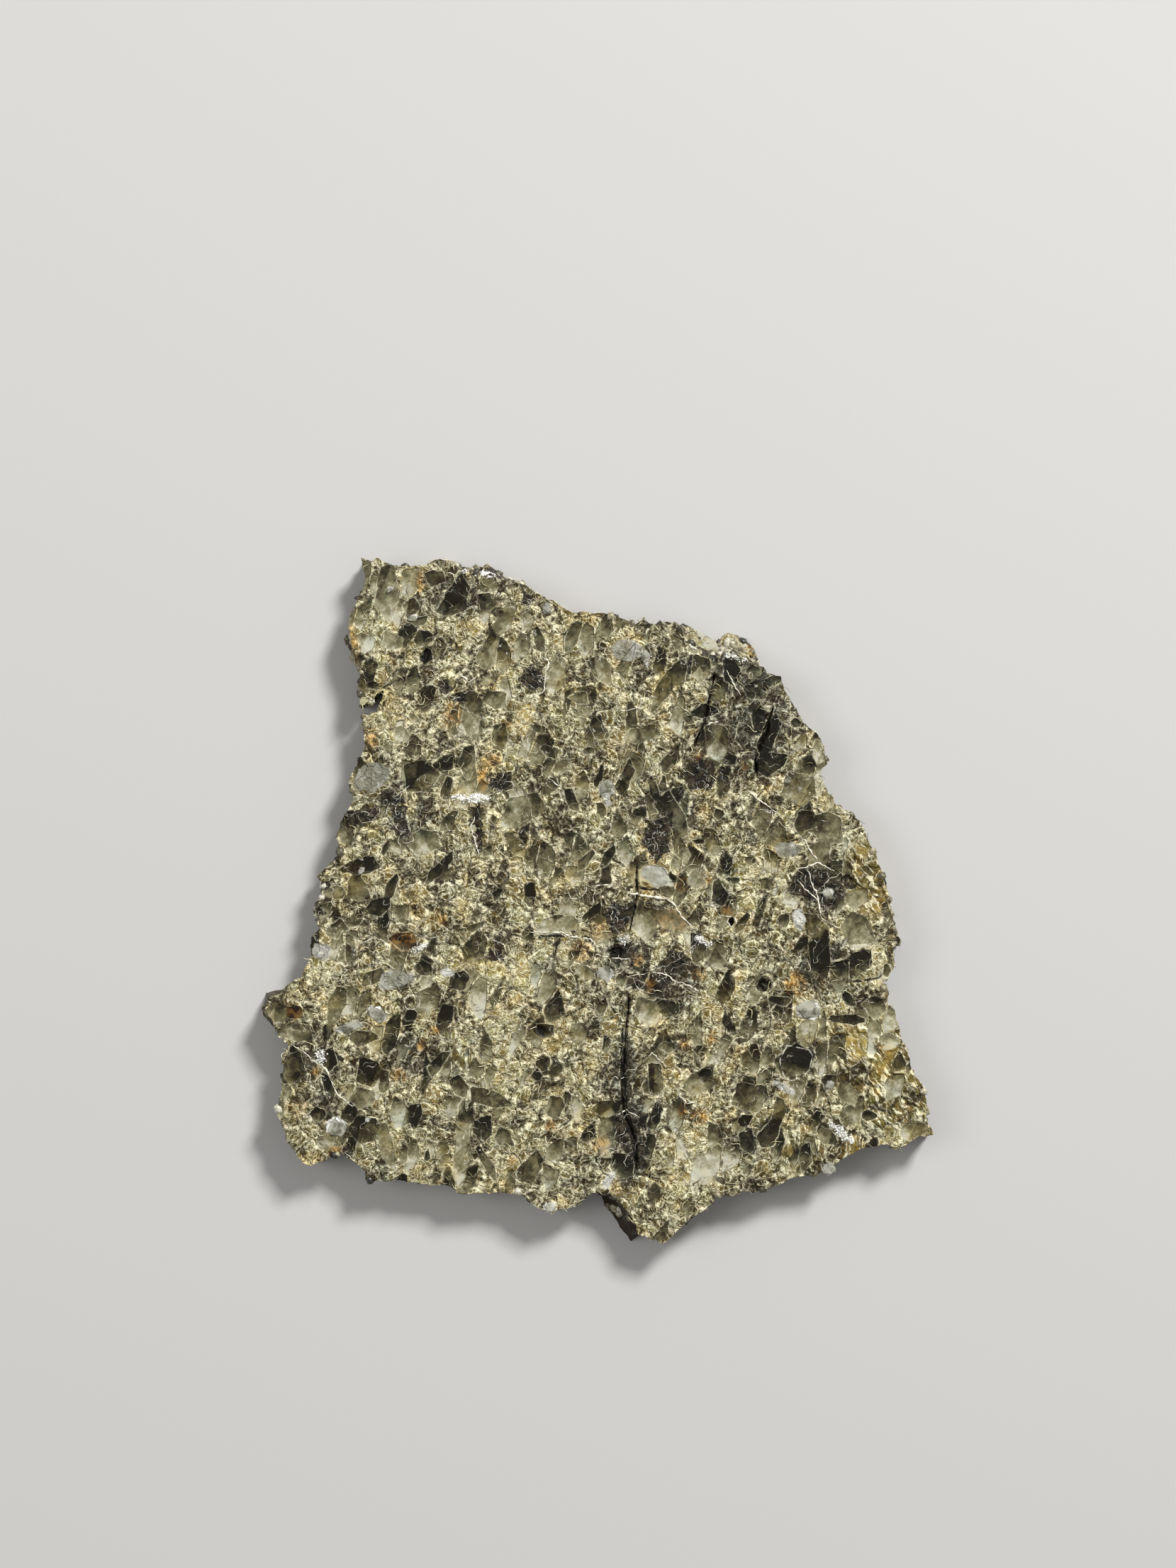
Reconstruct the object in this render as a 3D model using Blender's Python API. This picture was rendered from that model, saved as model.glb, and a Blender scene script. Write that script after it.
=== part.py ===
"""Thin slice of a martian shergottite: a sawn slab of stone, broken all round its rim.

The slab lies on its flat underside with the sawn face up, and its origin is under the middle of its
bounding box. Every length here is in millimetres. Only slab_object() turns them into metres.
"""

import math
import random

import bpy
import numpy as np
from mathutils import Matrix, Vector, geometry, noise

METRES = 0.001

# Driving dimensions of the slab
THICKNESS = 1.10
RIM_STEP = 0.30
RIM_WEAR = 0.03
FACE_STEP = 0.42
UNDERSIDE_STEP = 0.80
FACE_RELIEF = 0.045
UNDERSIDE_RELIEF = 0.02
LEDGE_DEPTH = 0.12
RIM_CHIP = 0.09
REST_SPOT = (-2.5, 0.0)
REST_RADIUS = 3.0
SEED = 14

# Shares of the thickness at which the broken wall has a ring of corners
WALL_SHARES = (0.0, 0.34, 0.70, 1.0)

# The rim as seen from above, clockwise from the spike at its top left corner
TOP_EDGE = (
    (-7.50, 11.00), (-7.20, 10.90), (-7.00, 11.00), (-6.65, 10.80), (-6.35, 10.70), (-5.40, 10.80),
    (-5.15, 10.95), (-4.75, 11.00), (-4.50, 10.95), (-4.35, 10.80), (-3.65, 10.75), (-3.50, 10.85),
    (-2.90, 10.45), (-2.40, 10.25), (-1.65, 9.70), (-1.35, 9.65), (-0.95, 9.35), (-0.75, 9.25),
    (0.20, 9.25), (1.05, 9.00), (1.25, 8.85), (1.50, 9.00), (1.95, 8.85), (2.30, 8.95),
    (2.50, 8.90), (2.85, 9.00), (3.75, 8.45), (4.00, 8.40), (4.25, 8.60), (4.60, 8.55), (5.15, 8.10),
)
RIGHT_EDGE = (
    (5.25, 7.70), (5.50, 7.30), (5.95, 7.20), (6.05, 6.80), (6.20, 6.55), (6.65, 5.75), (7.10, 5.40),
    (7.25, 5.15), (7.40, 4.40), (7.20, 4.15), (7.35, 3.70), (7.65, 3.15), (8.00, 2.90), (8.20, 2.85),
    (8.60, 2.35), (8.80, 1.80), (9.00, 1.50), (9.25, 0.60), (9.45, 0.05), (9.55, -0.65),
    (9.70, -1.00), (9.80, -1.35), (9.55, -1.50), (9.60, -2.00), (9.40, -2.50), (9.25, -2.60),
    (9.40, -3.00), (9.35, -3.25), (9.60, -3.50), (9.90, -4.65), (10.20, -5.50), (10.40, -5.80),
    (10.55, -6.15), (10.65, -6.70), (10.60, -6.90), (10.85, -7.50),
)
BOTTOM_EDGE = (
    (10.40, -7.55), (9.95, -7.85), (9.60, -7.95), (9.35, -7.80), (8.60, -7.90), (7.80, -8.35),
    (7.50, -8.70), (6.45, -8.85), (5.80, -9.10), (5.05, -9.35), (4.75, -9.30), (4.50, -9.45),
    (4.20, -9.40), (3.85, -9.50), (3.70, -9.70), (3.45, -9.95), (3.25, -10.05), (2.25, -10.95),
    (2.05, -11.00), (1.95, -10.85), (1.75, -10.90), (1.60, -10.75), (1.15, -11.05), (0.80, -10.60),
    (0.00, -9.35), (-0.15, -9.35), (-0.65, -9.80), (-1.25, -9.90), (-1.40, -10.05), (-1.60, -9.90),
    (-2.00, -9.75), (-2.45, -9.35), (-3.65, -9.35), (-4.40, -9.40), (-4.50, -9.25), (-4.85, -9.10),
    (-5.25, -9.10), (-6.45, -8.95), (-6.70, -9.00), (-7.25, -8.95), (-7.40, -8.65), (-8.15, -8.10),
    (-9.15, -8.50), (-9.40, -8.40),
)
LEFT_EDGE = (
    (-9.95, -7.60), (-10.05, -7.10), (-10.25, -6.75), (-10.05, -6.10), (-10.10, -5.85),
    (-10.00, -5.45), (-10.05, -5.05), (-9.80, -4.60), (-10.20, -4.40), (-10.70, -3.75),
    (-10.80, -3.50), (-10.65, -3.00), (-10.15, -2.90), (-9.75, -2.60), (-9.40, -2.45),
    (-9.35, -2.25), (-9.10, -1.75), (-9.15, -1.20), (-8.85, -0.85), (-9.05, -0.30), (-8.80, 0.05),
    (-8.80, 0.60), (-8.90, 0.80), (-8.30, 1.35), (-8.20, 1.80), (-8.30, 2.00), (-8.15, 2.50),
    (-7.75, 3.25), (-7.90, 3.80), (-7.45, 4.80), (-7.40, 5.00), (-7.45, 5.95),
)
NOTCH = ((-7.15, 6.00), (-7.00, 6.05), (-6.80, 6.75), (-7.00, 6.65), (-7.20, 6.30), (-7.35, 6.35))
UPPER_LEFT_EDGE = (
    (-7.55, 6.20), (-7.65, 7.30), (-8.00, 8.20), (-8.00, 8.50), (-7.95, 8.90), (-7.45, 10.00),
    (-7.40, 10.50),
)

# Stretches where the rim broke on a slant and its foot stands out past the sawn face: the middle, how
# far the full slant and its end reach from there, and how far the sawn face's edge is set back
SLANTS = (
    (4.10, 8.50, 1.00, 1.70, 0.60),
    (-3.60, 10.80, 0.80, 1.60, 0.20),
    (0.55, -10.45, 0.80, 1.10, 0.52),
    (-8.00, 7.90, 0.40, 1.20, 0.18),
    (-10.70, -3.60, 0.50, 1.20, 0.20),
)

# Open cracks across the sawn face, as routes from end to end
CRACK_DEPTH = 0.14
CRACK_LIP = 0.08
CRACKS = (
    ((1.33, 1.25), (1.32, 0.90), (1.33, 0.40), (1.30, 0.00), (1.15, -0.70), (1.07, -1.15)),
    (
        (1.05, -2.95), (1.04, -3.60), (0.97, -4.10), (0.96, -4.70), (0.92, -5.20), (0.85, -5.60),
        (0.85, -6.20), (0.90, -6.70), (1.05, -7.15), (1.28, -7.70), (1.30, -8.30), (1.35, -8.80),
    ),
    ((3.85, 7.50), (3.78, 7.05), (3.68, 6.60), (3.58, 6.15), (3.50, 5.80), (3.35, 5.40), (3.10, 4.75)),
    ((5.75, 6.30), (5.62, 6.00), (5.48, 5.40), (5.25, 4.90), (5.12, 4.50), (5.15, 4.10), (4.85, 3.72)),
)
# The crack that runs on through the slab to its underside
THROUGH_CRACK = 1

# Hollows where a grain was plucked out: middle, half length, half width, turn in degrees and depth
PITS = (
    (5.41, -2.70, 0.31, 0.27, 20.0, 0.22),
    (4.36, -0.66, 0.13, 0.12, 0.0, 0.20),
    (-5.48, 7.90, 0.34, 0.17, 65.0, 0.14),
    (-4.45, 6.50, 0.30, 0.18, 20.0, 0.12),
    (-1.75, -4.20, 0.42, 0.22, 155.0, 0.13),
    (3.50, -5.60, 0.40, 0.24, 40.0, 0.12),
    (0.65, -1.65, 0.32, 0.20, 10.0, 0.13),
    (8.10, 0.60, 0.48, 0.28, 130.0, 0.11),
)
UNDERSIDE_PITS = (
    (4.60, 3.10, 0.50, 0.26, 30.0, 0.11),
    (6.80, -4.20, 0.44, 0.30, 100.0, 0.10),
    (-6.90, -5.10, 0.55, 0.28, 60.0, 0.12),
)
PIT_CORNERS = 9
PIT_FLOOR_SHARE = 0.55

STONE_COLOUR = (0.27, 0.24, 0.15, 1.0)
STONE_ROUGHNESS = 0.55


def clear_scene():
    """Remove every object that the file opened with."""
    for item in list(bpy.data.objects):
        bpy.data.objects.remove(item, do_unlink=True)


def stone_material():
    """The khaki grey of the slice as a whole."""
    material = bpy.data.materials.new("shergottite")
    material.use_nodes = True
    shader = material.node_tree.nodes["Principled BSDF"]
    shader.inputs["Base Color"].default_value = STONE_COLOUR
    shader.inputs["Roughness"].default_value = STONE_ROUGHNESS
    shader.inputs["Metallic"].default_value = 0.0
    return material


def stepped(route, step, wear, closed=False):
    """The route with more corners on its long stretches, each worn a little to one side."""
    corners = [Vector(point) for point in route]
    ends = corners[1:] + corners[:1] if closed else corners[1:]
    line = []
    for start, end in zip(corners, ends):
        span = end - start
        across = Vector((-span.y, span.x)).normalized()
        pieces = max(1, math.ceil(span.length / step))
        line.append(start)
        for piece in range(1, pieces):
            line.append(start + span * (piece / pieces) + across * random.uniform(-wear, wear))
    return line if closed else line + corners[-1:]


def inward_directions(rim):
    """For each corner of the clockwise rim, the way into the stone, averaged over its neighbours."""
    count = len(rim)
    directions = []
    for i in range(count):
        along = Vector((0.0, 0.0))
        for reach in (1, 2, 3):
            along += (rim[(i + reach) % count] - rim[i - reach]).normalized()
        along.normalize()
        directions.append(Vector((along.y, -along.x)))
    return directions


def slant_at(point):
    """How far the sawn face's edge is set back at this place on the rim, and how slanted it is, 0 to 1."""
    setback = 0.0
    share = 0.0
    for x, y, full, end, amount in SLANTS:
        away = (point - Vector((x, y))).length
        here = min(1.0, max(0.0, (end - away) / (end - full)))
        here = here * here * (3.0 - 2.0 * here)
        setback += amount * here
        share = max(share, here)
    return setback, share


def wall_rings(rim):
    """Rings of 3D corners up the broken wall, from the underside to the sawn face."""
    inward = inward_directions(rim)
    rings = []
    last = len(WALL_SHARES) - 1
    for level, share in enumerate(WALL_SHARES):
        ring = []
        for point, way in zip(rim, inward):
            setback, slanted = slant_at(point)
            grain = noise.noise(Vector((point.x * 1.7, point.y * 1.7, 3.0 * level)))
            ledge = LEDGE_DEPTH * (0.5 + 0.5 * grain)
            if level == last:
                ledge = 0.0
            elif level == 0:
                ledge *= 1.0 - slanted
            place = point + way * (setback * share + ledge)
            chip = RIM_CHIP * abs(noise.noise(Vector((point.x * 2.3, point.y * 2.3, 9.0))))
            height = share * THICKNESS
            if level == last:
                height -= chip
            elif level > 0:
                height += 0.5 * RIM_CHIP * random.uniform(-1.0, 1.0)
            ring.append(Vector((place.x, place.y, height)))
        rings.append(ring)
    return rings


def inside(points, ring):
    """Which of the points lie inside the closed ring, by counting the edges they cross."""
    found = np.zeros(len(points), dtype=bool)
    for start, end in zip(ring, np.roll(ring, -1, axis=0)):
        spans = (start[1] > points[:, 1]) != (end[1] > points[:, 1])
        rise = end[1] - start[1]
        if rise == 0.0:
            continue
        crossing = start[0] + (points[:, 1] - start[1]) * (end[0] - start[0]) / rise
        found ^= spans & (points[:, 0] < crossing)
    return found


def fill_points(ring, step, keep_clear):
    """Jittered triangular grid inside the ring, clear of its edge and of (x, y, radius) places."""
    low = ring.min(axis=0)
    high = ring.max(axis=0)
    row_gap = step * math.sqrt(3.0) / 2.0
    grid = []
    for row in range(math.ceil((high[1] - low[1]) / row_gap)):
        shift = 0.5 * step * (row % 2)
        for column in range(math.ceil((high[0] - low[0]) / step)):
            x = low[0] + column * step + shift + random.uniform(-0.22, 0.22) * step
            y = low[1] + row * row_gap + random.uniform(-0.22, 0.22) * step
            grid.append((x, y))
    points = np.array(grid)
    points = points[inside(points, ring)]
    edge = np.vstack([ring, (ring + np.roll(ring, -1, axis=0)) / 2.0])
    blocks = [(x, y, 0.55 * min(step, 0.5)) for x, y in edge] + list(keep_clear)
    for x, y, radius in blocks:
        points = points[np.hypot(points[:, 0] - x, points[:, 1] - y) > radius]
    return points


class Sheet:
    """One sawn face of the slab: corners with a depth below its plane, and the edges they must keep."""

    def __init__(self, ring):
        self.places = [Vector((corner.x, corner.y)) for corner in ring]
        self.depths = [0.0] * len(ring)
        self.rim_count = len(ring)
        self.edges = [(i, (i + 1) % len(ring)) for i in range(len(ring))]
        self.taken = []

    def add(self, x, y, depth):
        """Add a corner and return its index."""
        self.places.append(Vector((x, y)))
        self.depths.append(depth)
        return len(self.places) - 1

    def add_crack(self, route):
        """A groove along the route, with its lips in the face and its ends running out."""
        line = stepped(route, FACE_STEP * 0.75, 0.02)
        before = None
        for i, point in enumerate(line):
            is_end = i in (0, len(line) - 1)
            bottom = self.add(point.x, point.y, 0.0 if is_end else CRACK_DEPTH)
            if before is not None:
                self.edges.append((before, bottom))
            before = bottom
            self.taken.append((point.x, point.y, CRACK_LIP + 0.14))
            if is_end:
                continue
            along = (line[i + 1] - line[i - 1]).normalized()
            for side in (-1.0, 1.0):
                lip = CRACK_LIP * random.uniform(0.7, 1.2) * side
                self.add(point.x - along.y * lip, point.y + along.x * lip, 0.0)

    def add_pit(self, x, y, half_length, half_width, turn, depth):
        """A hollow with an uneven lip."""
        lip = []
        for corner in range(PIT_CORNERS):
            angle = math.tau * corner / PIT_CORNERS
            reach = random.uniform(0.78, 1.12)
            way = Vector((half_length * math.cos(angle), half_width * math.sin(angle))) * reach
            way.rotate(Matrix.Rotation(math.radians(turn), 2))
            lip.append(self.add(x + way.x, y + way.y, 0.0))
            floor = way * PIT_FLOOR_SHARE
            self.add(x + floor.x, y + floor.y, depth * random.uniform(0.7, 1.0))
        for start, end in zip(lip, lip[1:] + lip[:1]):
            self.edges.append((start, end))
        self.taken.append((x, y, half_length * 1.12 + 0.12))

    def fill(self, step, relief):
        """Cover the rest of the face, with relief(x, y) as each corner's depth."""
        ring = np.array([tuple(place) for place in self.places[: self.rim_count]])
        for x, y in fill_points(ring, step, self.taken):
            self.add(x, y, relief(x, y))

    def triangles(self):
        """Triangles between the corners, counterclockwise, as indices into places."""
        found = geometry.delaunay_2d_cdt(self.places, self.edges, [], 1, 1e-5)
        origins = [sources[0] for sources in found[3]]
        return [[origins[corner] for corner in face] for face in found[2]]


def face_relief(x, y):
    """Depth below the sawn face of grains that were plucked or stand proud."""
    lumps = noise.noise(Vector((x * 0.9, y * 0.9, 20.0)))
    grains = noise.cell(Vector((x * 2.6, y * 2.6, 31.0)))
    return FACE_RELIEF * (0.7 * lumps + 0.6 * (grains - 0.5))


def underside_relief(x, y):
    """Height above the underside's plane, nothing on the spot that the slab rests and is fixed on."""
    away = (Vector((x, y)) - Vector(REST_SPOT)).length
    if away < REST_RADIUS:
        return 0.0
    return UNDERSIDE_RELIEF * max(0.0, noise.noise(Vector((x * 1.3, y * 1.3, 44.0))))


def join_sheet(corners, faces, sheet, first_rim_corner, plane, way):
    """Add a sawn face to the slab, its depths measured from the plane in the given way along Z."""
    index = list(range(first_rim_corner, first_rim_corner + sheet.rim_count))
    for place, depth in zip(sheet.places[sheet.rim_count :], sheet.depths[sheet.rim_count :]):
        index.append(len(corners))
        corners.append(Vector((place.x, place.y, plane + way * depth)))
    for a, b, c in sheet.triangles():
        faces.append((index[a], index[b], index[c]) if way < 0.0 else (index[a], index[c], index[b]))


def slab_mesh():
    """Corners in millimetres and faces of the whole slab."""
    rim = stepped(
        TOP_EDGE + RIGHT_EDGE + BOTTOM_EDGE + LEFT_EDGE + NOTCH + UPPER_LEFT_EDGE,
        RIM_STEP,
        RIM_WEAR,
        closed=True,
    )
    rings = wall_rings(rim)
    count = len(rim)
    corners = [corner for ring in rings for corner in ring]
    faces = []
    for level in range(len(rings) - 1):
        for i in range(count):
            low = level * count + i
            low_next = level * count + (i + 1) % count
            high, high_next = low + count, low_next + count
            if (i + level) % 2:
                faces += [(low, high, low_next), (low_next, high, high_next)]
            else:
                faces += [(low, high, high_next), (low, high_next, low_next)]

    top = Sheet(rings[-1])
    for crack in CRACKS:
        top.add_crack(crack)
    for pit in PITS:
        top.add_pit(*pit)
    top.fill(FACE_STEP, face_relief)
    join_sheet(corners, faces, top, (len(rings) - 1) * count, THICKNESS, -1.0)

    under = Sheet(rings[0])
    under.add_crack(CRACKS[THROUGH_CRACK])
    for pit in UNDERSIDE_PITS:
        under.add_pit(*pit)
    under.fill(UNDERSIDE_STEP, underside_relief)
    join_sheet(corners, faces, under, 0, 0.0, 1.0)
    return corners, faces


def slab_object():
    """The slab as one closed mesh in metres, standing on z = 0 with its box centred on the origin."""
    corners, faces = slab_mesh()
    points = np.array([tuple(corner) for corner in corners])
    low = points.min(axis=0)
    high = points.max(axis=0)
    points -= ((low[0] + high[0]) / 2.0, (low[1] + high[1]) / 2.0, low[2])
    mesh = bpy.data.meshes.new("meteorite_slice")
    mesh.from_pydata((points * METRES).tolist(), [], faces)
    mesh.validate()
    mesh.materials.append(stone_material())
    slab = bpy.data.objects.new("meteorite_slice", mesh)
    bpy.context.scene.collection.objects.link(slab)
    return slab


def main():
    clear_scene()
    random.seed(SEED)
    slab_object()


main()
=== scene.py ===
"""A thin sawn slice of martian shergottite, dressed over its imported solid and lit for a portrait.

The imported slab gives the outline, the broken wall, the open cracks and the hollows. This script gives
it a finer skin with the relief of its grains, names where each lath, dark pool, bright grain, rust spot
and vein lies, and adds the raised veins, the crumbs of the rim, the crusts and the clear grains.
Positions in the catalogue are millimetres on the sawn face, +x to the right and +y up the picture.
"""

from __future__ import annotations

import logging
import math
import random
from dataclasses import dataclass, field, replace
from enum import Enum
from functools import reduce
from typing import Sequence

import bmesh
import bpy
import numpy as np
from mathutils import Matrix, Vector, kdtree, noise
from mathutils.bvhtree import BVHTree


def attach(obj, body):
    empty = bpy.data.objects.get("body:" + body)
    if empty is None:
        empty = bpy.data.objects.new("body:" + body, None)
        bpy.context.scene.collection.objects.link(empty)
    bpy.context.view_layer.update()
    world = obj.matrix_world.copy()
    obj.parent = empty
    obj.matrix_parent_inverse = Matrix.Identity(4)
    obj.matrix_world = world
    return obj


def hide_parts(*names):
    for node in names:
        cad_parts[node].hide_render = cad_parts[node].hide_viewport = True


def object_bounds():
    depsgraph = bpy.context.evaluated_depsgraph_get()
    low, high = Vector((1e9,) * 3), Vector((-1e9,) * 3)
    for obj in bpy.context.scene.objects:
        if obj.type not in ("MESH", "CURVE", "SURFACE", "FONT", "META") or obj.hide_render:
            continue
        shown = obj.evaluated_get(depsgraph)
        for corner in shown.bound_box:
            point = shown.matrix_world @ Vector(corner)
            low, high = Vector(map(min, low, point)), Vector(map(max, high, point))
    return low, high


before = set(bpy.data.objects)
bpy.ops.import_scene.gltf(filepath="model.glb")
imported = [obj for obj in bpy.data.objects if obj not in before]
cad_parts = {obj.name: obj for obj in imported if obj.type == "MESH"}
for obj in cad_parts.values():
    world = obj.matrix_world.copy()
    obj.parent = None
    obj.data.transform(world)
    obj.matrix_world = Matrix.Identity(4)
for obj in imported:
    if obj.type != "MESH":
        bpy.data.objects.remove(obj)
CAD_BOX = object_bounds()

LOG = logging.getLogger("meteorite")
MM = 0.001
NODE = "meteorite_slice"
TONE_SHARE = "tone_share"
FACE_SHIFT = (0.025, -0.025)
SKIN_RISE = 0.020
PIECE_RISE = 0.028

Row = tuple[float, ...]
Path = tuple[tuple[float, float], ...]

# Grey and olive glass laths: x, y, half length, half width, turn of the long axis, tone 0 dark to 1 light
LATHS_TOP: tuple[Row, ...] = (
    (-6.70, 9.85, .85, .38, 95, .50), (-5.15, 10.38, .32, .28, 0, .05), (-5.90, 9.38, .38, .26, 60, .30),
    (-5.68, 8.98, .24, .17, 0, .08), (-5.50, 8.40, .34, .24, 20, .10), (-5.40, 7.83, .26, .18, 80, 0),
    (-6.55, 8.30, .42, .28, 0, .45), (-7.32, 8.20, .32, .24, 60, .85), (-7.52, 8.45, .24, .14, 10, .20),
    (-7.15, 6.92, .24, .13, 15, .05), (-5.65, 4.05, .60, .50, 110, .15), (-6.62, 4.95, .22, .13, 60, .35),
    (-6.20, 5.35, .32, .22, 130, .45), (-5.82, 5.85, .24, .12, 140, .20), (-4.45, 9.85, .62, .38, 60, .08),
    (-4.60, 9.45, .50, .28, 20, .25), (-2.90, 9.05, .65, .24, 62, .45), (-3.40, 8.05, .75, .25, 72, .45),
    (-3.52, 7.05, .25, .14, 30, .75), (-3.95, 5.95, .85, .32, 82, .42), (-4.10, 4.45, .52, .26, 90, .25),
    (-3.25, 6.45, .42, .30, 0, .30), (-3.05, 5.30, .46, .27, 85, .15), (-1.80, 8.40, .46, .17, 112, .05),
    (-.75, 8.45, .58, .20, 70, .18), (-1.25, 7.25, .70, .30, 75, .50), (.15, 7.40, .58, .30, 125, .38),
    (2.25, 6.85, 1.10, .22, 60, .15), (.08, 5.50, .45, .22, 125, .08), (1.45, 5.30, .60, .22, 12, .42),
    (-1.85, 5.52, .34, .13, 160, .20), (-.50, 6.50, .32, .26, 0, .15), (-1.45, 4.78, .30, .18, 140, .08),
    (-.22, 4.82, .20, .13, 0, .08), (-1.10, 4.30, .34, .20, 30, .40), (-3.12, 9.28, .24, .15, 0, 0),
    (3.38, 7.48, .46, .36, 90, .30), (2.62, 7.32, .46, .32, 60, .20), (4.35, 7.38, .48, .32, 100, .15),
    (5.02, 7.35, .26, .22, 0, .60), (5.18, 6.75, .42, .33, 0, .40), (5.72, 7.08, .28, .18, 0, .30),
    (3.90, 5.10, .72, .48, 100, .55), (4.30, 4.55, .30, .20, 0, .25), (3.52, 6.08, .48, .22, 0, .03),
    (5.58, 5.30, .72, .22, 62, .06), (5.58, 4.42, .58, .36, 20, .14), (6.42, 5.70, .18, .15, 0, .15),
    (7.12, 4.75, .50, .15, 95, .70),
)
LATHS_LEFT: tuple[Row, ...] = (
    (-5.50, 1.90, .48, .46, 0, .42), (-5.20, 1.76, .18, .10, 40, .02), (-4.80, 3.55, .42, .15, 70, .15),
    (-4.70, 2.58, .42, .17, 55, .35), (-3.45, 1.62, .24, .14, 60, .05), (-5.02, 1.02, .62, .19, 48, .15),
    (-4.80, .85, .22, .20, 0, .35), (-7.50, 1.12, .52, .30, 15, .05), (-7.65, .40, .42, .34, 120, .45),
    (-8.32, .28, .38, .22, 0, .45), (-6.55, .50, .50, .14, 62, .06), (-6.95, -.20, .42, .33, 25, .10),
    (-6.72, 1.70, .32, .10, 60, .05), (-6.30, 1.78, .34, .24, 40, .45), (-6.15, -1.28, .45, .30, 0, .05),
    (-7.85, -1.60, .60, .19, 88, .35), (-8.30, -.90, .40, .28, 40, .30), (-7.15, -2.45, .48, .25, 35, .05),
    (-5.55, -2.15, .30, .25, 0, .20), (-5.45, -2.60, .20, .16, 0, .65), (-4.35, -2.55, .36, .30, 30, .10),
    (-3.85, -.83, .38, .12, 20, .30), (-3.15, .22, .22, .12, 60, .15),
)
LATHS_MIDDLE: tuple[Row, ...] = (
    (-2.40, 2.85, .80, .55, 30, .45), (-2.55, 1.82, .55, .20, 131, .40), (-1.38, 3.78, .22, .17, 0, .08),
    (-.75, 3.20, .42, .20, 120, .10), (.12, 3.95, .40, .10, 72, .05), (.95, 3.90, .56, .24, 66, .10),
    (.18, 2.92, .28, .17, 90, .12), (.40, 1.42, .40, .14, 58, .05), (-.30, 1.33, .46, .14, 56, .12),
    (-2.10, .15, .44, .20, 95, .03), (-1.20, -.78, .72, .28, 10, .55), (-1.25, -.56, .20, .12, 0, .10),
    (-.12, -.38, .40, .14, 35, .08), (1.90, .80, .55, .38, 155, .85), (1.60, -.70, .62, .40, 78, .60),
    (2.45, -.65, .60, .42, 150, .55), (-.35, -2.28, .36, .20, 145, .60), (.80, -2.52, .22, .16, 0, .30),
    (1.88, 3.52, .46, .17, 112, .08), (2.50, 2.75, .80, .38, 125, .28), (2.72, 1.72, .56, .22, 115, .38),
)
LATHS_RIGHT: tuple[Row, ...] = (
    (6.60, 3.60, .60, .55, 0, .40), (6.75, 2.50, .50, .40, 90, .22), (7.50, 2.35, .60, .50, 130, .30),
    (7.15, 1.62, .40, .32, 40, .42), (7.02, -.85, .58, .30, 110, .35), (7.20, -1.82, .66, .34, 95, .12),
    (8.40, -.95, .60, .50, 0, .35), (4.65, -.75, .46, .15, 55, .10), (3.95, .25, .50, .25, 100, .06),
    (4.40, .65, .26, .10, 0, 0), (3.25, .68, .32, .26, 90, .60), (3.72, 1.88, .45, .30, 100, .30),
    (3.30, 1.90, .20, .10, 0, 0), (4.97, 1.30, .20, .17, 0, .10), (3.95, 2.80, .20, .17, 0, .08),
    (6.02, -.60, .24, .20, 30, .02), (3.90, -1.38, .26, .17, 0, .12), (3.92, -1.82, .33, .32, 0, .55),
    (3.30, -1.48, .46, .30, 90, .08), (9.35, -2.22, .22, .15, 90, .05),
)
LATHS_LOWER_LEFT: tuple[Row, ...] = (
    (-10.25, -3.55, .42, .36, 0, .50), (-9.65, -3.58, .26, .25, 0, .05), (-9.65, -5.35, .50, .38, 90, .30),
    (-9.60, -4.25, .60, .28, 160, .35), (-8.28, -3.30, .70, .30, 72, .28), (-4.85, -3.78, .48, .28, 80, .05),
    (-5.90, -3.68, .24, .20, 0, .08), (-8.55, -5.10, .36, .24, 90, .02), (-8.55, -5.98, .48, .17, 105, .05),
    (-7.42, -4.38, .56, .20, 10, .18), (-7.25, -5.50, .46, .38, 90, .03), (-6.78, -5.80, .45, .17, 90, .10),
    (-5.08, -5.28, .50, .18, 58, .08), (-7.45, -6.32, .45, .30, 0, .42), (-8.90, -6.85, .26, .24, 0, .15),
    (-7.42, -7.30, .48, .46, 0, .06), (-6.70, -7.80, .75, .24, 106, .38), (-6.30, -6.80, .50, .27, 80, .45),
    (-6.15, -8.10, .40, .15, 90, .30), (-5.80, -6.85, .46, .24, 90, 0), (-5.40, -8.18, .24, .10, 90, .05),
    (-4.27, -7.80, 1.55, .24, 90, .48), (-4.68, -7.70, .08, .08, 0, 0),
)
LATHS_LOWER_MIDDLE: tuple[Row, ...] = (
    (-4.35, -5.98, .44, .24, 115, .12), (-4.05, -6.92, .52, .14, 88, .30),
    (-3.45, -6.30, .65, .28, 162, .12), (-3.62, -7.32, .38, .32, 90, .08), (-2.95, -7.60, .30, .28, 0, .20),
    (-3.55, -8.32, .72, .14, 119, .08),
    (-2.10, -8.55, .62, .28, 45, .15), (-1.30, -6.60, .42, .30, 90, .20), (-1.62, -4.18, .32, .22, 155, 0),
    (-.55, -4.25, .44, .34, 90, .25), (.35, -4.60, .32, .14, 80, .08), (-.60, -6.65, .46, .18, 95, .55),
    (.30, -6.68, .50, .26, 5, .42), (-1.88, -5.60, .22, .16, 60, 0), (.90, -8.50, .45, .40, 0, .42),
    (1.62, -3.50, .46, .38, 130, .62), (2.35, -3.42, .44, .30, 160, .25), (1.95, -5.75, .62, .26, 92, .10),
    (2.30, -4.70, .25, .20, 0, .40), (3.35, -5.85, .52, .38, 20, .30), (3.38, -4.80, .28, .20, 0, .12),
    (3.78, -5.15, .24, .15, 0, .60), (3.80, -7.50, .35, .26, 90, .20), (3.50, -8.65, .50, .42, 0, .60),
)
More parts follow.
